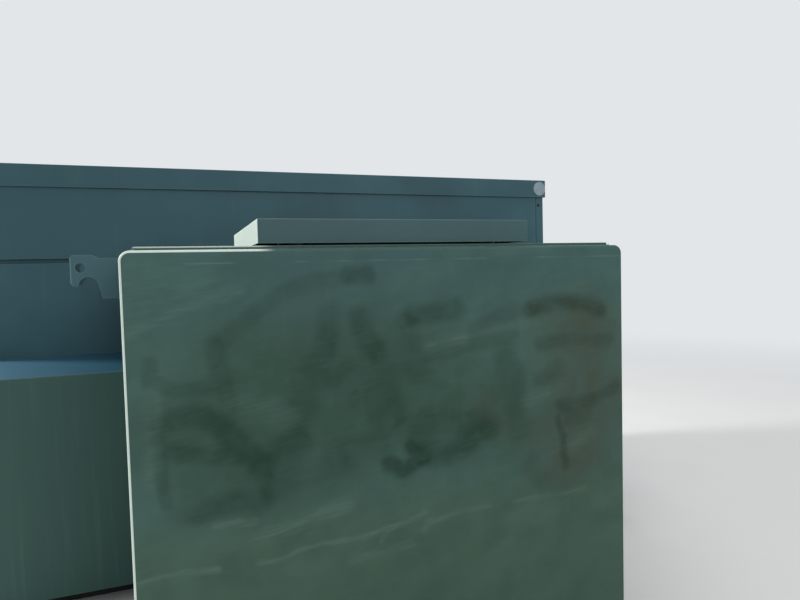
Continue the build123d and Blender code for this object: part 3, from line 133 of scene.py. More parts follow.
def add(tree, kind, inputs=(), pick=0, **settings):
    """Adds a node with its settings, gives its inputs values or links, returns one output."""
    made = tree.nodes.new(kind)
    for name, value in settings.items():
        setattr(made, name, value)
    for key, value in inputs.items() if isinstance(inputs, dict) else enumerate(inputs):
        if isinstance(value, bpy.types.NodeSocket):
            tree.links.new(value, made.inputs[key])
        else:
            made.inputs[key].default_value = value
    return made.outputs[pick] if made.outputs else None


def new_material(name):
    """An empty material with a Principled shader; returns it, its tree and the shader."""
    material = bpy.data.materials.new(name)
    material.use_nodes = True
    tree = material.node_tree
    shader = next(n for n in tree.nodes if n.type == "BSDF_PRINCIPLED")
    return material, tree, shader


def finish_with(tree, shader, colour, rough, bump):
    """Leads a finish's colour, roughness and bump into its shader."""
    for name, value in (("Base Color", colour), ("Roughness", rough), ("Normal", bump)):
        tree.links.new(value, shader.inputs[name])


def layered(tree, colour, layers):
    """A colour with others laid over it, each through its own mask."""
    for mask, tint in layers:
        colour = add(tree, MIX, {0: mask, 6: colour, 7: tint}, 2, data_type="RGBA")
    return colour


# Hand marks on the tank's front, as read from the photograph: half the
# width in metres, the strength from 0 to 1, and the places (x, z) in metres on
# that face that the hand went through. Dark and warm rubs are what hands left,
# sallow and soiled fields the film round them, pale rubs where it was wiped.
DARK_RUBS = {
    "rising swipe": (
        0.020, 0.28,
        ((-0.485, 0.970), (-0.410, 1.040), (-0.340, 1.090), (-0.255, 1.120), (-0.165, 1.130)),
    ),
    "swipe end": (0.022, 0.46, ((-0.165, 1.130), (-0.110, 1.130))),
    "left finger": (0.030, 0.37, ((-0.215, 1.040), (-0.225, 0.945))),
    "left finger trail": (0.039, 0.28, ((-0.230, 0.940), (-0.275, 0.860), (-0.325, 0.760))),
    "right finger": (0.029, 0.46, ((-0.140, 1.020), (-0.120, 0.975), (-0.090, 0.915))),
    "right finger trail": (0.043, 0.23, ((-0.085, 0.910), (-0.070, 0.820))),
    "palm": (0.035, 0.55, ((0.015, 1.020), (0.125, 1.035))),
    "palm side": (0.022, 0.32, ((-0.020, 1.000), (0.035, 1.020))),
    "palm trail": (0.041, 0.23, ((-0.005, 0.940), (0.015, 0.880))),
    "loop": (0.018, 0.29, ((-0.645, 0.940), (-0.650, 0.900), (-0.590, 0.870), (-0.520, 0.870))),
    "arm": (0.020, 0.39, ((-0.500, 0.980), (-0.485, 0.890), (-0.475, 0.810))),
    "upper bar": (0.027, 0.46, ((-0.595, 0.805), (-0.555, 0.810), (-0.505, 0.785))),
    "slant": (0.028, 0.55, ((-0.505, 0.780), (-0.450, 0.715), (-0.395, 0.655))),
    "lower bar": (0.022, 0.41, ((-0.610, 0.730), (-0.520, 0.710), (-0.455, 0.695))),
    "valley": (0.038, 0.44, ((-0.395, 0.650), (-0.355, 0.685), (-0.320, 0.725))),
    "upright": (0.016, 0.37, ((-0.635, 0.795), (-0.625, 0.690), (-0.620, 0.610))),
    "low oval": (0.029, 0.44, ((-0.555, 0.565), (-0.465, 0.585), (-0.405, 0.585))),
    "low run": (0.030, 0.28, ((-0.385, 0.590), (-0.315, 0.620), (-0.180, 0.645))),
    "middle run": (0.037, 0.32, ((-0.225, 0.670), (-0.090, 0.685))),
    "hook": (0.022, 0.69, ((-0.065, 0.625), (-0.020, 0.605), (0.030, 0.630), (0.005, 0.665))),
    "hook arm": (0.037, 0.55, ((0.035, 0.645), (0.105, 0.635), (0.185, 0.665), (0.240, 0.695))),
    "upper arm": (0.037, 0.35, ((-0.010, 0.720), (0.195, 0.715))),
    "centre": (0.045, 0.29, ((-0.190, 0.875), (-0.120, 0.810), (-0.050, 0.765))),
    "second swipe": (0.021, 0.29, ((0.055, 0.905), (0.150, 0.925), (0.320, 0.945))),
    "shoulder": (0.038, 0.31, ((0.295, 0.890), (0.325, 0.785), (0.335, 0.675))),
}
WARM_RUBS = {
    "long swipe": (0.023, 0.36, ((0.190, 0.980), (0.280, 1.010), (0.390, 1.015))),
    "long swipe end": (0.026, 0.61, ((0.385, 1.015), (0.505, 1.030), (0.610, 1.010))),
    "second bar": (0.020, 0.38, ((0.405, 0.915), (0.520, 0.920), (0.650, 0.920))),
    "thumb": (0.029, 0.45, ((0.415, 0.810), (0.460, 0.835))),
    "right bar": (0.022, 0.50, ((0.475, 0.730), (0.565, 0.735), (0.670, 0.760))),
    "under bar": (0.020, 0.32, ((0.500, 0.690), (0.575, 0.695))),
    "tail": (0.013, 0.54, ((0.460, 0.695), (0.480, 0.640), (0.495, 0.545))),
    "low spot": (0.039, 0.25, ((0.370, 0.545), (0.410, 0.515))),
}
SALLOW_FIELDS = {
    "right field": (0.131, 0.87, ((0.550, 0.940), (0.580, 0.775), (0.530, 0.600))),
    "middle right": (0.063, 0.43, ((0.225, 0.745), (0.345, 0.685))),
}
SOILED_FIELDS = {
    "middle": (0.160, 0.83, ((-0.420, 0.785), (-0.085, 0.770), (0.235, 0.735))),
    "left": (0.101, 0.68, ((-0.585, 0.770), (-0.425, 0.700))),
    "upper": (0.108, 0.68, ((-0.445, 0.930), (-0.215, 0.930), (0.060, 0.865))),
    "low": (0.068, 0.52, ((-0.555, 0.595), (-0.335, 0.605))),
}
PALE_RUBS = {
    "under the palm": (0.020, 0.43, ((0.065, 0.930), (0.155, 0.945))),
    "corner arc": (0.015, 0.32, ((-0.695, 1.015), (-0.610, 1.050), (-0.440, 1.100))),
    "corner haze": (0.078, 0.23, ((-0.695, 1.110), (-0.615, 1.135), (-0.535, 1.095))),
    "left edge": (0.019, 0.27, ((-0.640, 0.875), (-0.645, 0.670))),
    "left patch": (0.034, 0.26, ((-0.465, 0.825), (-0.350, 0.785))),
    "right patch": (0.023, 0.32, ((0.375, 0.755), (0.420, 0.775))),
    "right low patch": (0.027, 0.29, ((0.515, 0.610), (0.585, 0.645))),
    "long scuff": (0.008, 0.54, ((-0.700, 0.420), (-0.605, 0.425), (-0.515, 0.425))),
    "second scuff": (
        0.008, 0.50,
        ((-0.420, 0.430), (-0.285, 0.430), (-0.145, 0.440), (0.025, 0.480)),
    ),
    "third scuff": (0.008, 0.36, ((0.050, 0.460), (0.230, 0.470))),
    "far scuff": (0.008, 0.36, ((0.310, 0.465), (0.565, 0.470))),
    "knuckle": (0.008, 0.36, ((-0.095, 0.420), (-0.060, 0.460))),
    "thumb mark": (0.014, 0.43, ((0.020, 0.440), (0.040, 0.465))),
    "upper scuffs": (0.022, 0.40, ((-0.430, 0.490), (-0.305, 0.510), (-0.180, 0.535))),
    "left scuff": (0.009, 0.36, ((-0.520, 0.530), (-0.425, 0.540))),
    "under scuff": (0.016, 0.29, ((-0.180, 0.390), (-0.020, 0.400))),
}


def rubbed(tree, place, rubs, wander, hard):
    """The shared mask of some rubs: nearness to each path, its edges wandering.

    wander scales how far the edges stray, and hard is the share of the half
    width that keeps its full strength.
    """
    # A hand's path wobbles over about 15 cm
    drift = add(tree, NOISE, {"Vector": place, "Scale": 6.5, "Detail": 3.0, "Roughness": 0.5}, 1)
    shift = add(tree, VECTOR, [drift, (0.5, 0.5, 0.5)], operation="SUBTRACT")
    shift = add(tree, VECTOR, {0: shift, "Scale": wander}, operation="SCALE")
    spot = add(tree, VECTOR, [place, shift], operation="ADD")
    flat = add(tree, VECTOR, [spot, (1, 0, 1)], operation="MULTIPLY")
    total = 0.0
    for half, strength, path in rubs.values():
        nearest = 1.0
        for (x1, z1), (x2, z2) in zip(path, path[1:]):
            run = Vector((x2 - x1, 0, z2 - z1))
            away = add(tree, VECTOR, [flat, (x1, 0, z1)], operation="SUBTRACT")
            share = run / run.length_squared
            along = add(tree, VECTOR, [away, share], "Value", operation="DOT_PRODUCT")
            # Two plain nodes: clamps are worked out last, and so many fill the shader's memory
            held = add(tree, MATH, [along, 0.0], operation="MAXIMUM")
            held = add(tree, MATH, [held, 1.0], operation="MINIMUM")
            foot = add(tree, VECTOR, {0: run, "Scale": held}, operation="SCALE")
            apart = add(tree, VECTOR, [away, foot], "Value", operation="DISTANCE")
            nearest = add(tree, MATH, [nearest, apart], operation="MINIMUM")
        # A soft rub fades out further past its half width than a hard one
        reach = (1.7 - 0.4 * hard) * half
        near = add(tree, RAMP, [nearest, reach, hard * half, 0.0, strength], **SOFT)
        total = add(tree, MIX, {0: near, 2: total, 3: 1.0})
    # The film of dirt is uneven over a few centimetres
    film = add(tree, NOISE, {"Vector": spot, "Scale": 16.0, "Detail": 3.0, "Roughness": 0.5})
    film = add(tree, RAMP, [film, 0.36, 0.60, 0.70, 1.0], **SOFT)
    return add(tree, MATH, [total, film], operation="MULTIPLY")


def streaks(tree, place, angle, size, length, low, high, most):
    """Lines drawn out along a direction on the tank's front, as a wiping hand leaves them.

    size is their spacing in metres and length how many times longer they are;
    the noise from low to high becomes a mask from 0 to most.
    """
    turned = add(
        tree, "ShaderNodeVectorRotate", {"Vector": place, "Angle": angle}, rotation_type="Y_AXIS"
    )
    drawn = add(tree, VECTOR, [turned, (1 / length, 1, 1)], operation="MULTIPLY")
    lines = add(tree, NOISE, {"Vector": drawn, "Scale": 1 / size, "Detail": 5.0})
    return add(tree, RAMP, [lines, low, high, 0.0, most], **SOFT)


def tank_marks(tree, place, facing):
    """What handling and weather left on the tank, and painted highlights on its left bends and
    cap: masks and colours, bottom first.
    """
    x, y, z = (add(tree, PARTS, [place], axis) for axis in "XYZ")
    side = add(tree, PARTS, [facing], "X")
    towards = add(tree, MATH, [add(tree, PARTS, [facing], "Y")], operation="ABSOLUTE")
    front = add(tree, RAMP, [y, TANK_FRONT + FRONT_SKIN, TANK_FRONT + 0.0005])
    # Bluer under the top edge, paler and cleaner near the ground
    cool = add(tree, RAMP, [z, 0.95, 1.17, 0.0, 0.45], **SOFT)
    clean = add(tree, RAMP, [z, 0.60, 0.44, 0.0, 0.75], **SOFT)
    long_wipes = streaks(
        tree, place, angle=0.35, size=0.070, length=3.5, low=0.42, high=0.70, most=0.30
    )
    fine_wipes = streaks(
        tree, place, angle=0.16, size=0.009, length=9.0, low=0.50, high=0.75, most=0.09
    )
    mottle = add(tree, NOISE, {"Vector": place, "Scale": 9.0, "Detail": 4.0, "Roughness": 0.5})
    mottle = add(tree, RAMP, [mottle, 0.42, 0.66, 0.0, 0.24], **SOFT)
    soiled = rubbed(tree, place, SOILED_FIELDS, wander=0.11, hard=0.0)
    sallow = rubbed(tree, place, SALLOW_FIELDS, wander=0.09, hard=0.0)
    dark = rubbed(tree, place, DARK_RUBS, wander=0.050, hard=0.40)
    warm = rubbed(tree, place, WARM_RUBS, wander=0.050, hard=0.25)
    pale = rubbed(tree, place, PALE_RUBS, wander=0.065, hard=0.0)
    # The pale rubs are made of fine hairs
    hairs = streaks(
        tree, place, angle=0.12, size=0.0080, length=10.0, low=0.36, high=0.72, most=0.60
    )
    hairs = add(tree, MATH, [hairs, 0.30], operation="ADD")
    pale = add(tree, MATH, [pale, hairs], operation="MULTIPLY")
    # A drip line under the top bend, broken along its way
    under = add(tree, MATH, [z, TANK_TOP - 0.033], operation="SUBTRACT")
    under = add(tree, MATH, [under], operation="ABSOLUTE")
    broken = add(tree, NOISE, {"Vector": place, "Scale": 7.0, "Detail": 3.0})
    broken = add(tree, RAMP, [broken, 0.44, 0.62, 0.0, 0.22], **SOFT)
    drip_line = add(tree, RAMP, [under, 0.0030, 0.0006, 0.0, broken], **SOFT)
    on_front = [
        (cool, linear("#35555a")),
        (clean, linear("#3e5647")),
        (long_wipes, linear("#45625a")),
        (mottle, linear("#203f38")),
        (soiled, linear("#2a463a")),
        (sallow, linear("#3b4639")),
        (dark, linear("#0a2b1d")),
        (warm, linear("#1b2d21")),
        (fine_wipes, linear("#4d695f")),
        (pale, linear("#5b7669")),
        (drip_line, linear("#6d8a83")),
    ]
    marks = [
        (add(tree, MATH, [mask, front], operation="MULTIPLY"), tint) for mask, tint in on_front
    ]
    # A painted highlight, standing in for sunlight: pale round the left bends and along the cover
    # plate's left front edge
    bend = add(tree, RAMP, [towards, 0.10, 0.40], **SOFT)
    bend = add(tree, RAMP, [towards, 0.985, 0.93, 0.0, bend], **SOFT)
    plate_edge = add(tree, RAMP, [z, HIGHLIGHT_LINE - 0.0015, HIGHLIGHT_LINE])
    under_plate = add(tree, RAMP, [z, TANK_TOP + 0.0005, TANK_TOP - 0.0005, 0.0, bend])
    painted_highlight = add(tree, MATH, [under_plate, plate_edge], operation="MAXIMUM")
    near_front = add(tree, RAMP, [y, TANK_FRONT + 0.036, TANK_FRONT + 0.030, 0.0, 0.90])
    left = add(tree, RAMP, [x, -0.345, -0.395, 0.0, near_front], **SOFT)
    below_cap = add(tree, RAMP, [z, CAP_GAP + 0.001, CAP_GAP - 0.002, 0.0, left])
    painted_highlight = add(tree, MATH, [painted_highlight, below_cap], operation="MULTIPLY")
    # The lugs stand out past the tank's sides, and get a bluer tone
    outward = add(tree, MATH, [x], operation="ABSOLUTE")
    on_lugs = add(tree, RAMP, [outward, TANK_HALF + 0.001, TANK_HALF + 0.010, 0.0, 0.80])
    # The weather cap is a cooler tone; its left face gets a painted highlight, standing in for
    # sunlight
    above_cover = add(tree, RAMP, [z, CAP_GAP, CAP_GAP + 0.002, 0.0, 0.93])
    painted_sunlit_face = add(tree, RAMP, [side, -0.55, -0.90, 0.0, above_cover], **SOFT)
    cooler = add(tree, MATH, [above_cover, 0.6], operation="MULTIPLY")
    return marks + [
        (on_lugs, linear("#40616a")),
        (cooler, linear("#3c5660")),
        # Painted highlight on the left bends and the cover plate's edge
        (painted_highlight, linear("#d3e0d6")),
        # Painted highlight on the cap's left face
        (painted_sunlit_face, linear("#d6e2d8")),
    ]


def box_marks(tree, place, facing):
    """What the weather left on a side box: a greener front, runs, and dust on its ledge, with a
    painted sky reflection and painted shade.
    """
    ahead = add(tree, PARTS, [facing], "Y")
    ahead = add(tree, RAMP, [ahead, -0.70, -0.98], **SOFT)
    drawn = add(tree, VECTOR, [place, (1, 1, 0.04)], operation="MULTIPLY")
    runs = add(tree, NOISE, {"Vector": drawn, "Scale": 60.0, "Detail": 5.0})
    runs = add(tree, RAMP, [runs, 0.50, 0.72, 0.0, 0.30], **SOFT)
    # What faces up gets dust, and a bluish painted reflection of the sky
    up = add(tree, PARTS, [facing], "Z")
    dust_and_sky_tint = add(tree, RAMP, [up, 0.75, 0.98, 0.0, 0.92], **SOFT)
    # Darker towards the middle, by the tank: painted shade of the tank
    outward = add(tree, MATH, [add(tree, PARTS, [place], "X")], operation="ABSOLUTE")
    outward = add(tree, RAMP, [outward, TANK_HALF, SIDE_HALF], **SOFT)
    dust_and_shade_tone = add(
        tree, MIX, {0: outward, 6: linear("#123c4e"), 7: linear("#305669")}, 2, data_type="RGBA"
    )
    return [(ahead, linear("#38554f")), (runs, linear("#48665f")), (dust_and_sky_tint, dust_and_shade_tone)]


def sheet_marks(tree, _place, facing):
    """What the weather left on a plain sheet: a little dust on what faces up, its bluish tone
    partly a painted reflection of the sky.
    """
    up = add(tree, PARTS, [facing], "Z")
    return [(add(tree, RAMP, [up, 0.75, 0.98, 0.0, 0.50], **SOFT), linear("#47636d"))]


def enamel(name, tone, marks):
    """Semi-gloss polyurethane enamel, sprayed over primer on folded steel.

    Sprayed: a fine orange peel. Outdoors: the tone drifts over each sheet,
    rain leaves faint upright runs, dust lies on what faces up, and the film
    wears pale along the edges. The pale edges are also a painted highlight,
    and the bluish dust partly a painted reflection of the sky.
    wears pale along the edges.
    """
    material, tree, shader = new_material(name)
    place = add(tree, COORDS, (), "Object")
    facing = add(tree, COORDS, (), "Normal")

    # The tone drifts over half a metre, towards a tone a third lighter
    drift = add(tree, NOISE, {"Vector": place, "Scale": 2.2, "Detail": 4.0, "Roughness": 0.55})
    drift = add(tree, RAMP, [drift, 0.35, 0.68, 0.0, 0.75], **SOFT)
    lighter = [c * 1.32 for c in tone[:3]] + [1.0]
    # Rain runs are a few centimetres wide and half a metre long
    drawn = add(tree, VECTOR, [place, (1, 1, 0.07)], operation="MULTIPLY")
    runs = add(tree, NOISE, {"Vector": drawn, "Scale": 28.0, "Detail": 3.0})
    runs = add(tree, RAMP, [runs, 0.56, 0.80, 0.0, 0.14], **SOFT)
    # Paint wears pale within 3.5 mm of an edge; the pale band is made strong as a painted
    # highlight, as on bends catching light
    bevel_normal = add(tree, "ShaderNodeBevel", {"Radius": 0.0035}, samples=4)
    flat = add(tree, "ShaderNodeNewGeometry", (), "Normal")
    turn = add(tree, VECTOR, [bevel_normal, flat], "Value", operation="DOT_PRODUCT")
    edge = add(tree, RAMP, [turn, 0.985, 0.86, 0.0, 0.48], **SOFT)
    layers = [(drift, lighter), (runs, linear("#54706a"))]
    layers += marks(tree, place, facing)
    # Pale edges: wear, and a painted highlight
    layers += [(edge, linear("#7b968f"))]
    colour = layered(tree, list(tone[:3]) + [1.0], layers)

    cloud = add(tree, NOISE, {"Vector": place, "Scale": 8.0, "Detail": 4.0})
    rough = add(tree, RAMP, [cloud, 0.0, 1.0, 0.42, 0.56])
    # Orange peel is about 3 mm across; the sheet itself waves over 35 cm
    peel = add(tree, NOISE, {"Vector": place, "Scale": 330.0, "Detail": 2.0})
    wave = add(tree, NOISE, {"Vector": place, "Scale": 2.9, "Detail": 2.0})
    height = add(tree, MATH, [peel, 0.012, wave], operation="MULTIPLY_ADD")
    bump = add(tree, BUMP, {"Strength": 0.25, "Distance": 0.004, "Height": height})
    finish_with(tree, shader, colour, rough, bump)
    # Weathered enamel has lost most of its gloss
    shader.inputs["Specular IOR Level"].default_value = 0.20
    return material


def metal(name, bright, dull, rough, grain, drawn=(1, 1, 1)):
    """Bare or plated metal: grain along the way it was worked, and dull spots."""
    material, tree, shader = new_material(name)
    place = add(tree, COORDS, (), "Object")
    along = add(tree, VECTOR, [place, drawn], operation="MULTIPLY")
    lines = add(tree, NOISE, {"Vector": along, "Scale": 1 / grain, "Detail": 4.0})
    spots = add(tree, NOISE, {"Vector": place, "Scale": 50.0, "Detail": 4.0})
    spots = add(tree, RAMP, [spots, 0.45, 0.75], **SOFT)
    colour = layered(tree, linear(bright), [(spots, linear(dull))])
    span = add(tree, RAMP, [lines, 0.0, 1.0, rough - 0.08, rough + 0.12])
    bump = add(tree, BUMP, {"Strength": 0.15, "Distance": 0.0004, "Height": lines})
    finish_with(tree, shader, colour, span, bump)
    shader.inputs["Metallic"].default_value = 1.0
    return material


def dielectric(name, base, patch, rough, grain, depth=0.0004):
    """Rubber, cast resin, paint or fibre board: soft mottling and a fine skin."""
    material, tree, shader = new_material(name)
    place = add(tree, COORDS, (), "Object")
    mottle = add(tree, NOISE, {"Vector": place, "Scale": 33.0, "Detail": 5.0})
    mottle = add(tree, RAMP, [mottle, 0.35, 0.72], **SOFT)
    colour = layered(tree, linear(base), [(mottle, linear(patch))])
    skin = add(tree, NOISE, {"Vector": place, "Scale": 1 / grain, "Detail": 3.0})
    span = add(tree, RAMP, [skin, 0.0, 1.0, rough - 0.06, rough + 0.10])
    bump = add(tree, BUMP, {"Strength": 0.30, "Distance": depth, "Height": skin})
    finish_with(tree, shader, colour, span, bump)
    return material


def finishes(sizes):
    """Every finish by the name of its slot in the record, and the enamel's variants."""
    return {
        # Tank enamel: the greener tone of the sheet nearest the eye
        "tank_enamel": enamel("tank_enamel", sizes.tank_colour, tank_marks),
        # Cabinet and hood enamel: the same paint in a cooler tone, partly a painted reflection of
        # the blue sky
        "green_enamel": enamel("green_enamel", sizes.cabinet_colour, sheet_marks),
        # Side boxes: between the two, with a dusty ledge, its sky colour a painted reflection and
        # its inner end painted shade
        "ledge_enamel": enamel("ledge_enamel", sizes.box_colour, box_marks),
        # Undercoat on the base: near black, matt and pebbled
        "base_coating": dielectric("base_coating", "#0c0f0f", "#171a19", 0.75, 0.004),
        # Closed-cell seal rubber: black, dull
        "seal_rubber": dielectric("seal_rubber", "#141515", "#1f2120", 0.70, 0.002),
        # Zinc plate: pale grey with cloudy passivation
        "zinc_steel": metal("zinc_steel", "#a9acab", "#8a8d8b", 0.38, 0.004),
        # Brushed stainless: even grain along the part
        "stainless_steel": metal(
            "stainless_steel", "#b5b7b6", "#9a9d9c", 0.30, 0.0015, (1, 1, 0.08)
        ),
        # Red-brown glass-filled polyester board with a fibrous skin
        "barrier_sheet": dielectric("barrier_sheet", "#8a3a26", "#6f2d1e", 0.50, 0.003),
        # Cast epoxy: smooth, glossy, mid grey
        "epoxy": dielectric("epoxy", "#6e7173", "#5f6264", 0.25, 0.006, 0.0001),
        # Tin plate over copper: soft white metal
        "tinned_copper": metal("tinned_copper", "#c4bfb4", "#a8a398", 0.34, 0.003),
        # Cast bronze: warm, dulled where it was not machined
        "valve_bronze": metal("valve_bronze", "#a98a4f", "#7d6436", 0.42, 0.003),
        # Red machine paint on a cast wheel
        "wheel_iron": dielectric("wheel_iron", "#8c2118", "#6b1a13", 0.42, 0.003),
        # Stacked core steel, its edges in fine layers
        "core_steel": metal("core_steel", "#565a5c", "#3f4345", 0.45, 0.002, (1, 1, 0.05)),
        # Oil-soaked kraft paper round the windings
        "winding_paper": dielectric("winding_paper", "#a58a5c", "#8a7046", 0.62, 0.004),
        # The plain pale disc: weathered light-grey plastic
        "pale_disc": dielectric("pale_disc", "#8798a3", "#7a8c98", 0.45, 0.004),
    }


LUGS = ("front_left", "front_right", "rear_left", "rear_right")
VARIANTS = {
    "tank_enamel": ["tank_shell", "tank_cover", "weather_cap"] + ["lift_lug_" + s for s in LUGS],
    "ledge_enamel": ["step_box_left", "step_box_right"],
}


class CabinetFinish(bpy.types.PropertyGroup):
    """Colours and sizes of the finishes and fine pieces that a user would change."""

    tank_colour: bpy.props.FloatVectorProperty(
        name="Tank colour", description="Enamel of the tank, its cap and its lugs",
        default=linear("#38524b")[:3], subtype="COLOR", min=0.0, max=1.0,
    )
    cabinet_colour: bpy.props.FloatVectorProperty(
        name="Cabinet colour", description="Enamel of the cabinet, its doors and its hood",
        default=linear("#35545c")[:3], subtype="COLOR", min=0.0, max=1.0,
    )
    box_colour: bpy.props.FloatVectorProperty(
        name="Side box colour", description="Enamel of the two side boxes, off their fronts",
        default=linear("#345457")[:3], subtype="COLOR", min=0.0, max=1.0,
    )
    bead_radius: bpy.props.FloatProperty(
        name="Weld bead", description="Radius of the weld beads", default=0.0030, unit="LENGTH",
    )
    bead_pitch: bpy.props.FloatProperty(
        name="Bead ripple", description="Distance between ripples of a weld bead",
        default=0.0045, unit="LENGTH",
    )
    bolt_radius: bpy.props.FloatProperty(
        name="Flange bolt", description="Radius of a bushing flange's bolt heads",
        default=0.0050, unit="LENGTH",
    )
    bolts_around: bpy.props.IntProperty(
        name="Bolts in a flange", description="Bolt heads round each bushing flange", default=4,
    )
    dial_ticks: bpy.props.IntProperty(
        name="Dial ticks", description="Plain marks on each dial", default=25,
    )
    lamp_level: bpy.props.FloatProperty(
        name="Lamp level", description="How strongly the studio lamps shine", default=1.0,
    )


class CABINET_OT_paint(bpy.types.Operator):
    """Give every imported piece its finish"""

    bl_idname = "cabinet.paint"
    bl_label = "Paint the cabinet"

    def execute(self, context):
        made = finishes(context.scene.cabinet_finish)
        finish_of = {row["node"]: row["material_slot"] for row in frame["record"]["subparts"]}
        for finish, nodes in VARIANTS.items():
            finish_of.update({node: finish for node in nodes})
        for name, piece in frame["nodes"].items():
            if not piece.material_slots:
                piece.data.materials.append(None)
            for slot in piece.material_slots:
                slot.material = made[finish_of[name]]
        return {"FINISHED"}


def growth_tree(name, sizes):
    """An empty geometry tree with named inputs for its sizes."""
    tree = bpy.data.node_groups.new(name, "GeometryNodeTree")
    tree.interface.new_socket("Geometry", in_out="INPUT", socket_type="NodeSocketGeometry")
    for size in sizes:
        tree.interface.new_socket(size, in_out="INPUT", socket_type="NodeSocketFloat")
    tree.interface.new_socket("Geometry", in_out="OUTPUT", socket_type="NodeSocketGeometry")
    return tree


def close_tree(tree, placed, finish):
    """Makes the instances real, paints them and leads them out."""
    real = add(tree, "GeometryNodeRealizeInstances", [placed])
    painted = add(tree, "GeometryNodeSetMaterial", {"Geometry": real, "Material": finish})
    add(tree, "NodeGroupOutput", [painted])


def weld_tree(finish):
    """Geometry nodes: a ripple of small uneven balls along a path."""
    tree = growth_tree("weld_ripple", ("Radius", "Pitch"))
    path = add(tree, "GeometryNodeMeshToCurve", [add(tree, "NodeGroupInput", (), "Geometry")])
    pitch = add(tree, "NodeGroupInput", (), "Pitch")
    steps = add(
        tree, "GeometryNodeResampleCurve", {"Curve": path, "Length": pitch}, mode="LENGTH"
    )
    radius = add(tree, "NodeGroupInput", (), "Radius")
    ball = add(
        tree, "GeometryNodeMeshUVSphere", {"Segments": 6, "Rings": 4, "Radius": radius}
    )
    uneven = add(
        tree, "FunctionNodeRandomValue", {2: 0.85, 3: 1.15, "Seed": 7}, 1, data_type="FLOAT"
    )
    placed = add(
        tree, "GeometryNodeInstanceOnPoints", {"Points": steps, "Instance": ball, "Scale": uneven}
    )
    close_tree(tree, placed, finish)
    return tree


def bolt_tree(finish):
    """Geometry nodes: hexagon heads on points, facing +Y."""
    tree = growth_tree("hexagon_heads", ("Radius",))
    points = add(
        tree, "GeometryNodeMeshToPoints", {"Mesh": add(tree, "NodeGroupInput", (), "Geometry")}
    )
    radius = add(tree, "NodeGroupInput", (), "Radius")
    head = add(
        tree, "GeometryNodeMeshCylinder", {"Vertices": 6, "Radius": radius, "Depth": radius}
    )
    upright = (math.pi / 2, 0, 0)
    placed = add(
        tree,
        "GeometryNodeInstanceOnPoints",
        {"Points": points, "Instance": head, "Rotation": upright},
    )
    close_tree(tree, placed, finish)
    return tree


def grown(name, vertices, edges, tree, values):
    """Runs a geometry tree on a plain mesh and keeps the result as a plain mesh."""
    seed = bpy.data.meshes.new(name + "_path")
    seed.from_pydata(vertices, edges, [])
    holder = bpy.data.objects.new(name + "_path", seed)
    bpy.context.scene.collection.objects.link(holder)
    grow = holder.modifiers.new("grow", "NODES")
    grow.node_group = tree
    for item in tree.interface.items_tree:
        if item.in_out == "INPUT" and item.name in values:
            grow[item.identifier] = values[item.name]
    graph = bpy.context.evaluated_depsgraph_get()
    mesh = bpy.data.meshes.new_from_object(holder.evaluated_get(graph))
    mesh.name = name
    bpy.data.objects.remove(holder)
    if not mesh.polygons:
        raise RuntimeError(name + " came out empty")
    piece = bpy.data.objects.new(name, mesh)
    bpy.context.scene.collection.objects.link(piece)
    return piece


class CABINET_OT_welds(bpy.types.Operator):
    """Lay weld beads round the cover plate and down the lifting lugs"""

    bl_idname = "cabinet.welds"
    bl_label = "Lay the welds"

    def execute(self, context):
        sizes = context.scene.cabinet_finish
        left = -TANK_HALF + COVER_EDGE
        front = TANK_FRONT + COVER_EDGE
        back = WALL_Y - COVER_EDGE
        corners = ((left, back), (left, front), (-left, front), (-left, back))
        vertices = [(x, y, TANK_TOP) for x, y in corners]
        edges = [(0, 1), (1, 2), (2, 3)]
        for lug in LUGS:
            low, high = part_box("lift_lug_" + lug)
            x = -TANK_HALF if "left" in lug else TANK_HALF
            for y in (low.y, high.y):
                edges.append((len(vertices), len(vertices) + 1))
                vertices += [(x, y, low.z + sizes.bead_radius), (x, y, TANK_TOP - TANK_CORNER)]
        welds = grown(
            "weld_beads", vertices, edges, weld_tree(bpy.data.materials["tank_enamel"]),
            {"Radius": sizes.bead_radius, "Pitch": sizes.bead_pitch},
        )
        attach(welds, "enclosure")
        return {"FINISHED"}


def separate_middles(node):
    """Middles (x, z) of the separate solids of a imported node, from its loose parts."""
    mesh = bmesh.new()
    mesh.from_mesh(frame["nodes"][node].data)
    bmesh.ops.remove_doubles(mesh, verts=mesh.verts, dist=1e-5)
    left = set(mesh.verts)
    middles = []
    while left:
        group, stack = [], [left.pop()]
        while stack:
            vertex = stack.pop()
            group.append(vertex.co.copy())
            for edge in vertex.link_edges:
                other = edge.other_vert(vertex)
                if other in left:
                    left.remove(other)
                    stack.append(other)
        spans = ([v.x for v in group], [v.z for v in group])
        middles.append(tuple((min(span) + max(span)) / 2 for span in spans))
    mesh.free()
    return sorted(middles)


class CABINET_OT_flange_bolts(bpy.types.Operator):
    """Set hexagon heads round every bushing flange"""

    bl_idname = "cabinet.flange_bolts"
    bl_label = "Bolt the bushings"

    def execute(self, context):
        sizes = context.scene.cabinet_finish
        rings = (("hv_bushings", HV_RING, HV_FLANGE), ("lv_bushings", LV_RING, LV_FLANGE))
        points = []
        for node, ring, flange in rings:
            seat = WALL_Y + flange + sizes.bolt_radius / 2
            for x, z in separate_middles(node):
                for i in range(sizes.bolts_around):
                    angle = math.tau * (i + 0.5) / sizes.bolts_around
                    points.append((x + ring * math.cos(angle), seat, z + ring * math.sin(angle)))
        bolts = grown(
            "bushing_bolts", points, [], bolt_tree(bpy.data.materials["zinc_steel"]),
            {"Radius": sizes.bolt_radius},
        )
        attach(bolts, "enclosure")
        return {"FINISHED"}


def mesh_piece(name, build, finish):
    """A piece made by bmesh code, with its finish."""
    mesh = bmesh.new()
    build(mesh)
    data = bpy.data.meshes.new(name)
    mesh.to_mesh(data)
    mesh.free()
    data.materials.append(finish)
    piece = bpy.data.objects.new(name, data)
    bpy.context.scene.collection.objects.link(piece)
    return piece


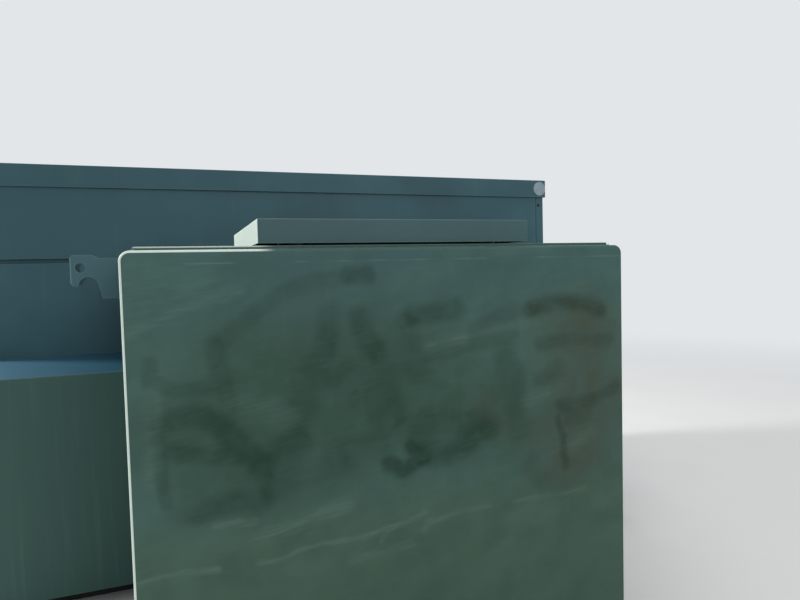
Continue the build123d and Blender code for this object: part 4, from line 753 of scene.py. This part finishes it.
class CABINET_OT_dials(bpy.types.Operator):
    """Put plain faces, marks and a needle in the two gauges"""

    bl_idname = "cabinet.dials"
    bl_label = "Fit the dials"

    def execute(self, context):
        sizes = context.scene.cabinet_finish
        face = dielectric("dial_card", "#d9d7cd", "#cbc9be", 0.50, 0.004, 0.0001)
        ink = dielectric("dial_ink", "#17191a", "#202324", 0.50, 0.004, 0.0001)
        seat = DIAL_RIM - CARD_SEAT
        middles = separate_middles("dial_gauges")

        def card(mesh):
            for x, z in middles:
                bmesh.ops.create_cone(
                    mesh, cap_ends=True, segments=48, radius1=DIAL_RADIUS, radius2=DIAL_RADIUS,
                    depth=CARD_DEPTH,
                    matrix=Matrix.Translation((x, seat + 0.0003, z))
                    @ Matrix.Rotation(math.pi / 2, 4, "X"),
                )

        def strip(mesh, place, angle, middle, size):
            bmesh.ops.create_cube(
                mesh, size=1.0,
                matrix=Matrix.Translation(place) @ Matrix.Rotation(-angle, 4, "Y")
                @ Matrix.Translation((middle, 0, 0)) @ Matrix.Diagonal((*size, 1)),
            )

        def marks(mesh):
            for x, z in middles:
                for i in range(sizes.dial_ticks):
                    turn = DIAL_START + DIAL_SWEEP * i / (sizes.dial_ticks - 1)
                    length = TICK_SHORT if i % TICKS_A_STEP else TICK_LONG
                    middle = DIAL_RADIUS * TICK_END - length / 2
                    size = (length, TICK_DEPTH, TICK_WIDTH)
                    strip(mesh, (x, seat + 0.0007, z), math.radians(turn), middle, size)
                needle = math.radians(NEEDLE_ANGLE)
                strip(mesh, (x, seat + 0.0012, z), needle, NEEDLE_MIDDLE, NEEDLE_SIZE)

        for name, build, finish in (("dial_faces", card, face), ("dial_marks", marks, ink)):
            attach(mesh_piece(name, build, finish), "enclosure")
        return {"FINISHED"}


def seen_by_eye(tree):
    """1 for a ray from the eye, straight, mirrored or through glass."""
    seen = 0.0
    for ray in ("Is Camera Ray", "Is Glossy Ray", "Is Transmission Ray"):
        path = add(tree, "ShaderNodeLightPath", (), ray)
        seen = add(tree, MATH, [seen, path], operation="MAXIMUM")
    return seen


class CABINET_OT_stage(bpy.types.Operator):
    """Build the floor, the lamps, the world and the camera"""

    bl_idname = "cabinet.stage"
    bl_label = "Set the stage"

    def execute(self, context):
        scene = context.scene
        level = scene.cabinet_finish.lamp_level
        scene.view_settings.view_transform = "Standard"
        backdrop = linear(BACKDROP)

        material, tree, shader = new_material("studio_floor")
        place = add(tree, COORDS, (), "Object")
        grain = add(tree, NOISE, {"Vector": place, "Scale": 1.6})
        colour = layered(tree, linear("#dcdcda"), [(grain, linear("#e2e2e0"))])
        tree.links.new(colour, shader.inputs["Base Color"])
        shader.inputs["Roughness"].default_value = 0.85
        away = add(tree, VECTOR, [place], "Value", operation="LENGTH")
        fade = add(tree, RAMP, [away, FADE_FROM, FADE_TO, 0.0, seen_by_eye(tree)], **SOFT)
        glow = add(tree, "ShaderNodeEmission", {"Color": backdrop, "Strength": 1.0})
        both = add(tree, "ShaderNodeMixShader", [fade, shader.outputs[0], glow])
        tree.links.new(both, tree.get_output_node("ALL").inputs[0])

        def sheet(mesh):
            bmesh.ops.create_grid(mesh, x_segments=1, y_segments=1, size=FLOOR_SPAN)

        mesh_piece("studio_floor", sheet, material)

        world = bpy.data.worlds.new("studio")
        scene.world = world
        world.use_nodes = True
        tree = world.node_tree
        tree.nodes.clear()
        light = add(
            tree, "ShaderNodeBackground",
            {"Color": linear("#eef1f4"), "Strength": WORLD_LEVEL * level},
        )
        pale = add(tree, "ShaderNodeBackground", {"Color": backdrop, "Strength": 1.0})
        both = add(tree, "ShaderNodeMixShader", [seen_by_eye(tree), light, pale])
        add(tree, "ShaderNodeOutputWorld", [both])

        for name, (place, aim, size, power) in LAMPS.items():
            lamp = bpy.data.lights.new(name, "AREA")
            lamp.shape = "DISK"
            lamp.size = size
            lamp.energy = power * level
            holder = bpy.data.objects.new(name, lamp)
            scene.collection.objects.link(holder)
            aimed = (Vector(aim) - Vector(place)).to_track_quat("-Z", "Y")
            holder.location = place
            holder.rotation_euler = aimed.to_euler()

        camera = bpy.data.cameras.new("camera")
        camera.lens = CAMERA_LENS
        camera.sensor_width = CAMERA_SENSOR
        camera.dof.use_dof = False
        holder = bpy.data.objects.new("camera", camera)
        scene.collection.objects.link(holder)
        yaw, pitch, roll = (math.radians(a) for a in (CAMERA_YAW, CAMERA_PITCH, CAMERA_ROLL))
        level_way = Vector((math.sin(yaw), math.cos(yaw), 0))
        ahead = level_way * math.cos(pitch) + Vector((0, 0, math.sin(pitch)))
        across = Vector((math.cos(yaw), -math.sin(yaw), 0))
        over = across.cross(ahead)
        right = across * math.cos(roll) - over * math.sin(roll)
        top = across * math.sin(roll) + over * math.cos(roll)
        turn = Matrix((right, top, -ahead)).transposed()
        holder.matrix_world = Matrix.Translation(CAMERA_PLACE) @ turn.to_4x4()
        scene.camera = holder
        return {"FINISHED"}


class CABINET_PT_panel(bpy.types.Panel):
    """Lists the steps in the order they run"""

    bl_label = "Cabinet"
    bl_idname = "CABINET_PT_panel"
    bl_space_type = "VIEW_3D"
    bl_region_type = "UI"
    bl_category = "Cabinet"

    def draw(self, context):
        for name in CabinetFinish.__annotations__:
            self.layout.prop(context.scene.cabinet_finish, name)
        for step in STEPS:
            self.layout.operator(step.bl_idname)


STEPS = (
    CABINET_OT_paint, CABINET_OT_welds, CABINET_OT_flange_bolts, CABINET_OT_dials,
    CABINET_OT_stage,
)
CLASSES = (CabinetFinish, *STEPS, CABINET_PT_panel)


def register():
    """Makes the classes known and hangs the settings on the scene."""
    for kind in CLASSES:
        bpy.utils.register_class(kind)
    bpy.types.Scene.cabinet_finish = bpy.props.PointerProperty(type=CabinetFinish)


def unregister():
    """Takes the settings and the classes away again."""
    del bpy.types.Scene.cabinet_finish
    for kind in reversed(CLASSES):
        bpy.utils.unregister_class(kind)


def main():
    """Runs every step."""
    register()
    bpy.ops.cabinet.paint()
    bpy.ops.cabinet.welds()
    bpy.ops.cabinet.flange_bolts()
    bpy.ops.cabinet.dials()
    bpy.ops.cabinet.stage()


if __name__ == "__main__":
    main()
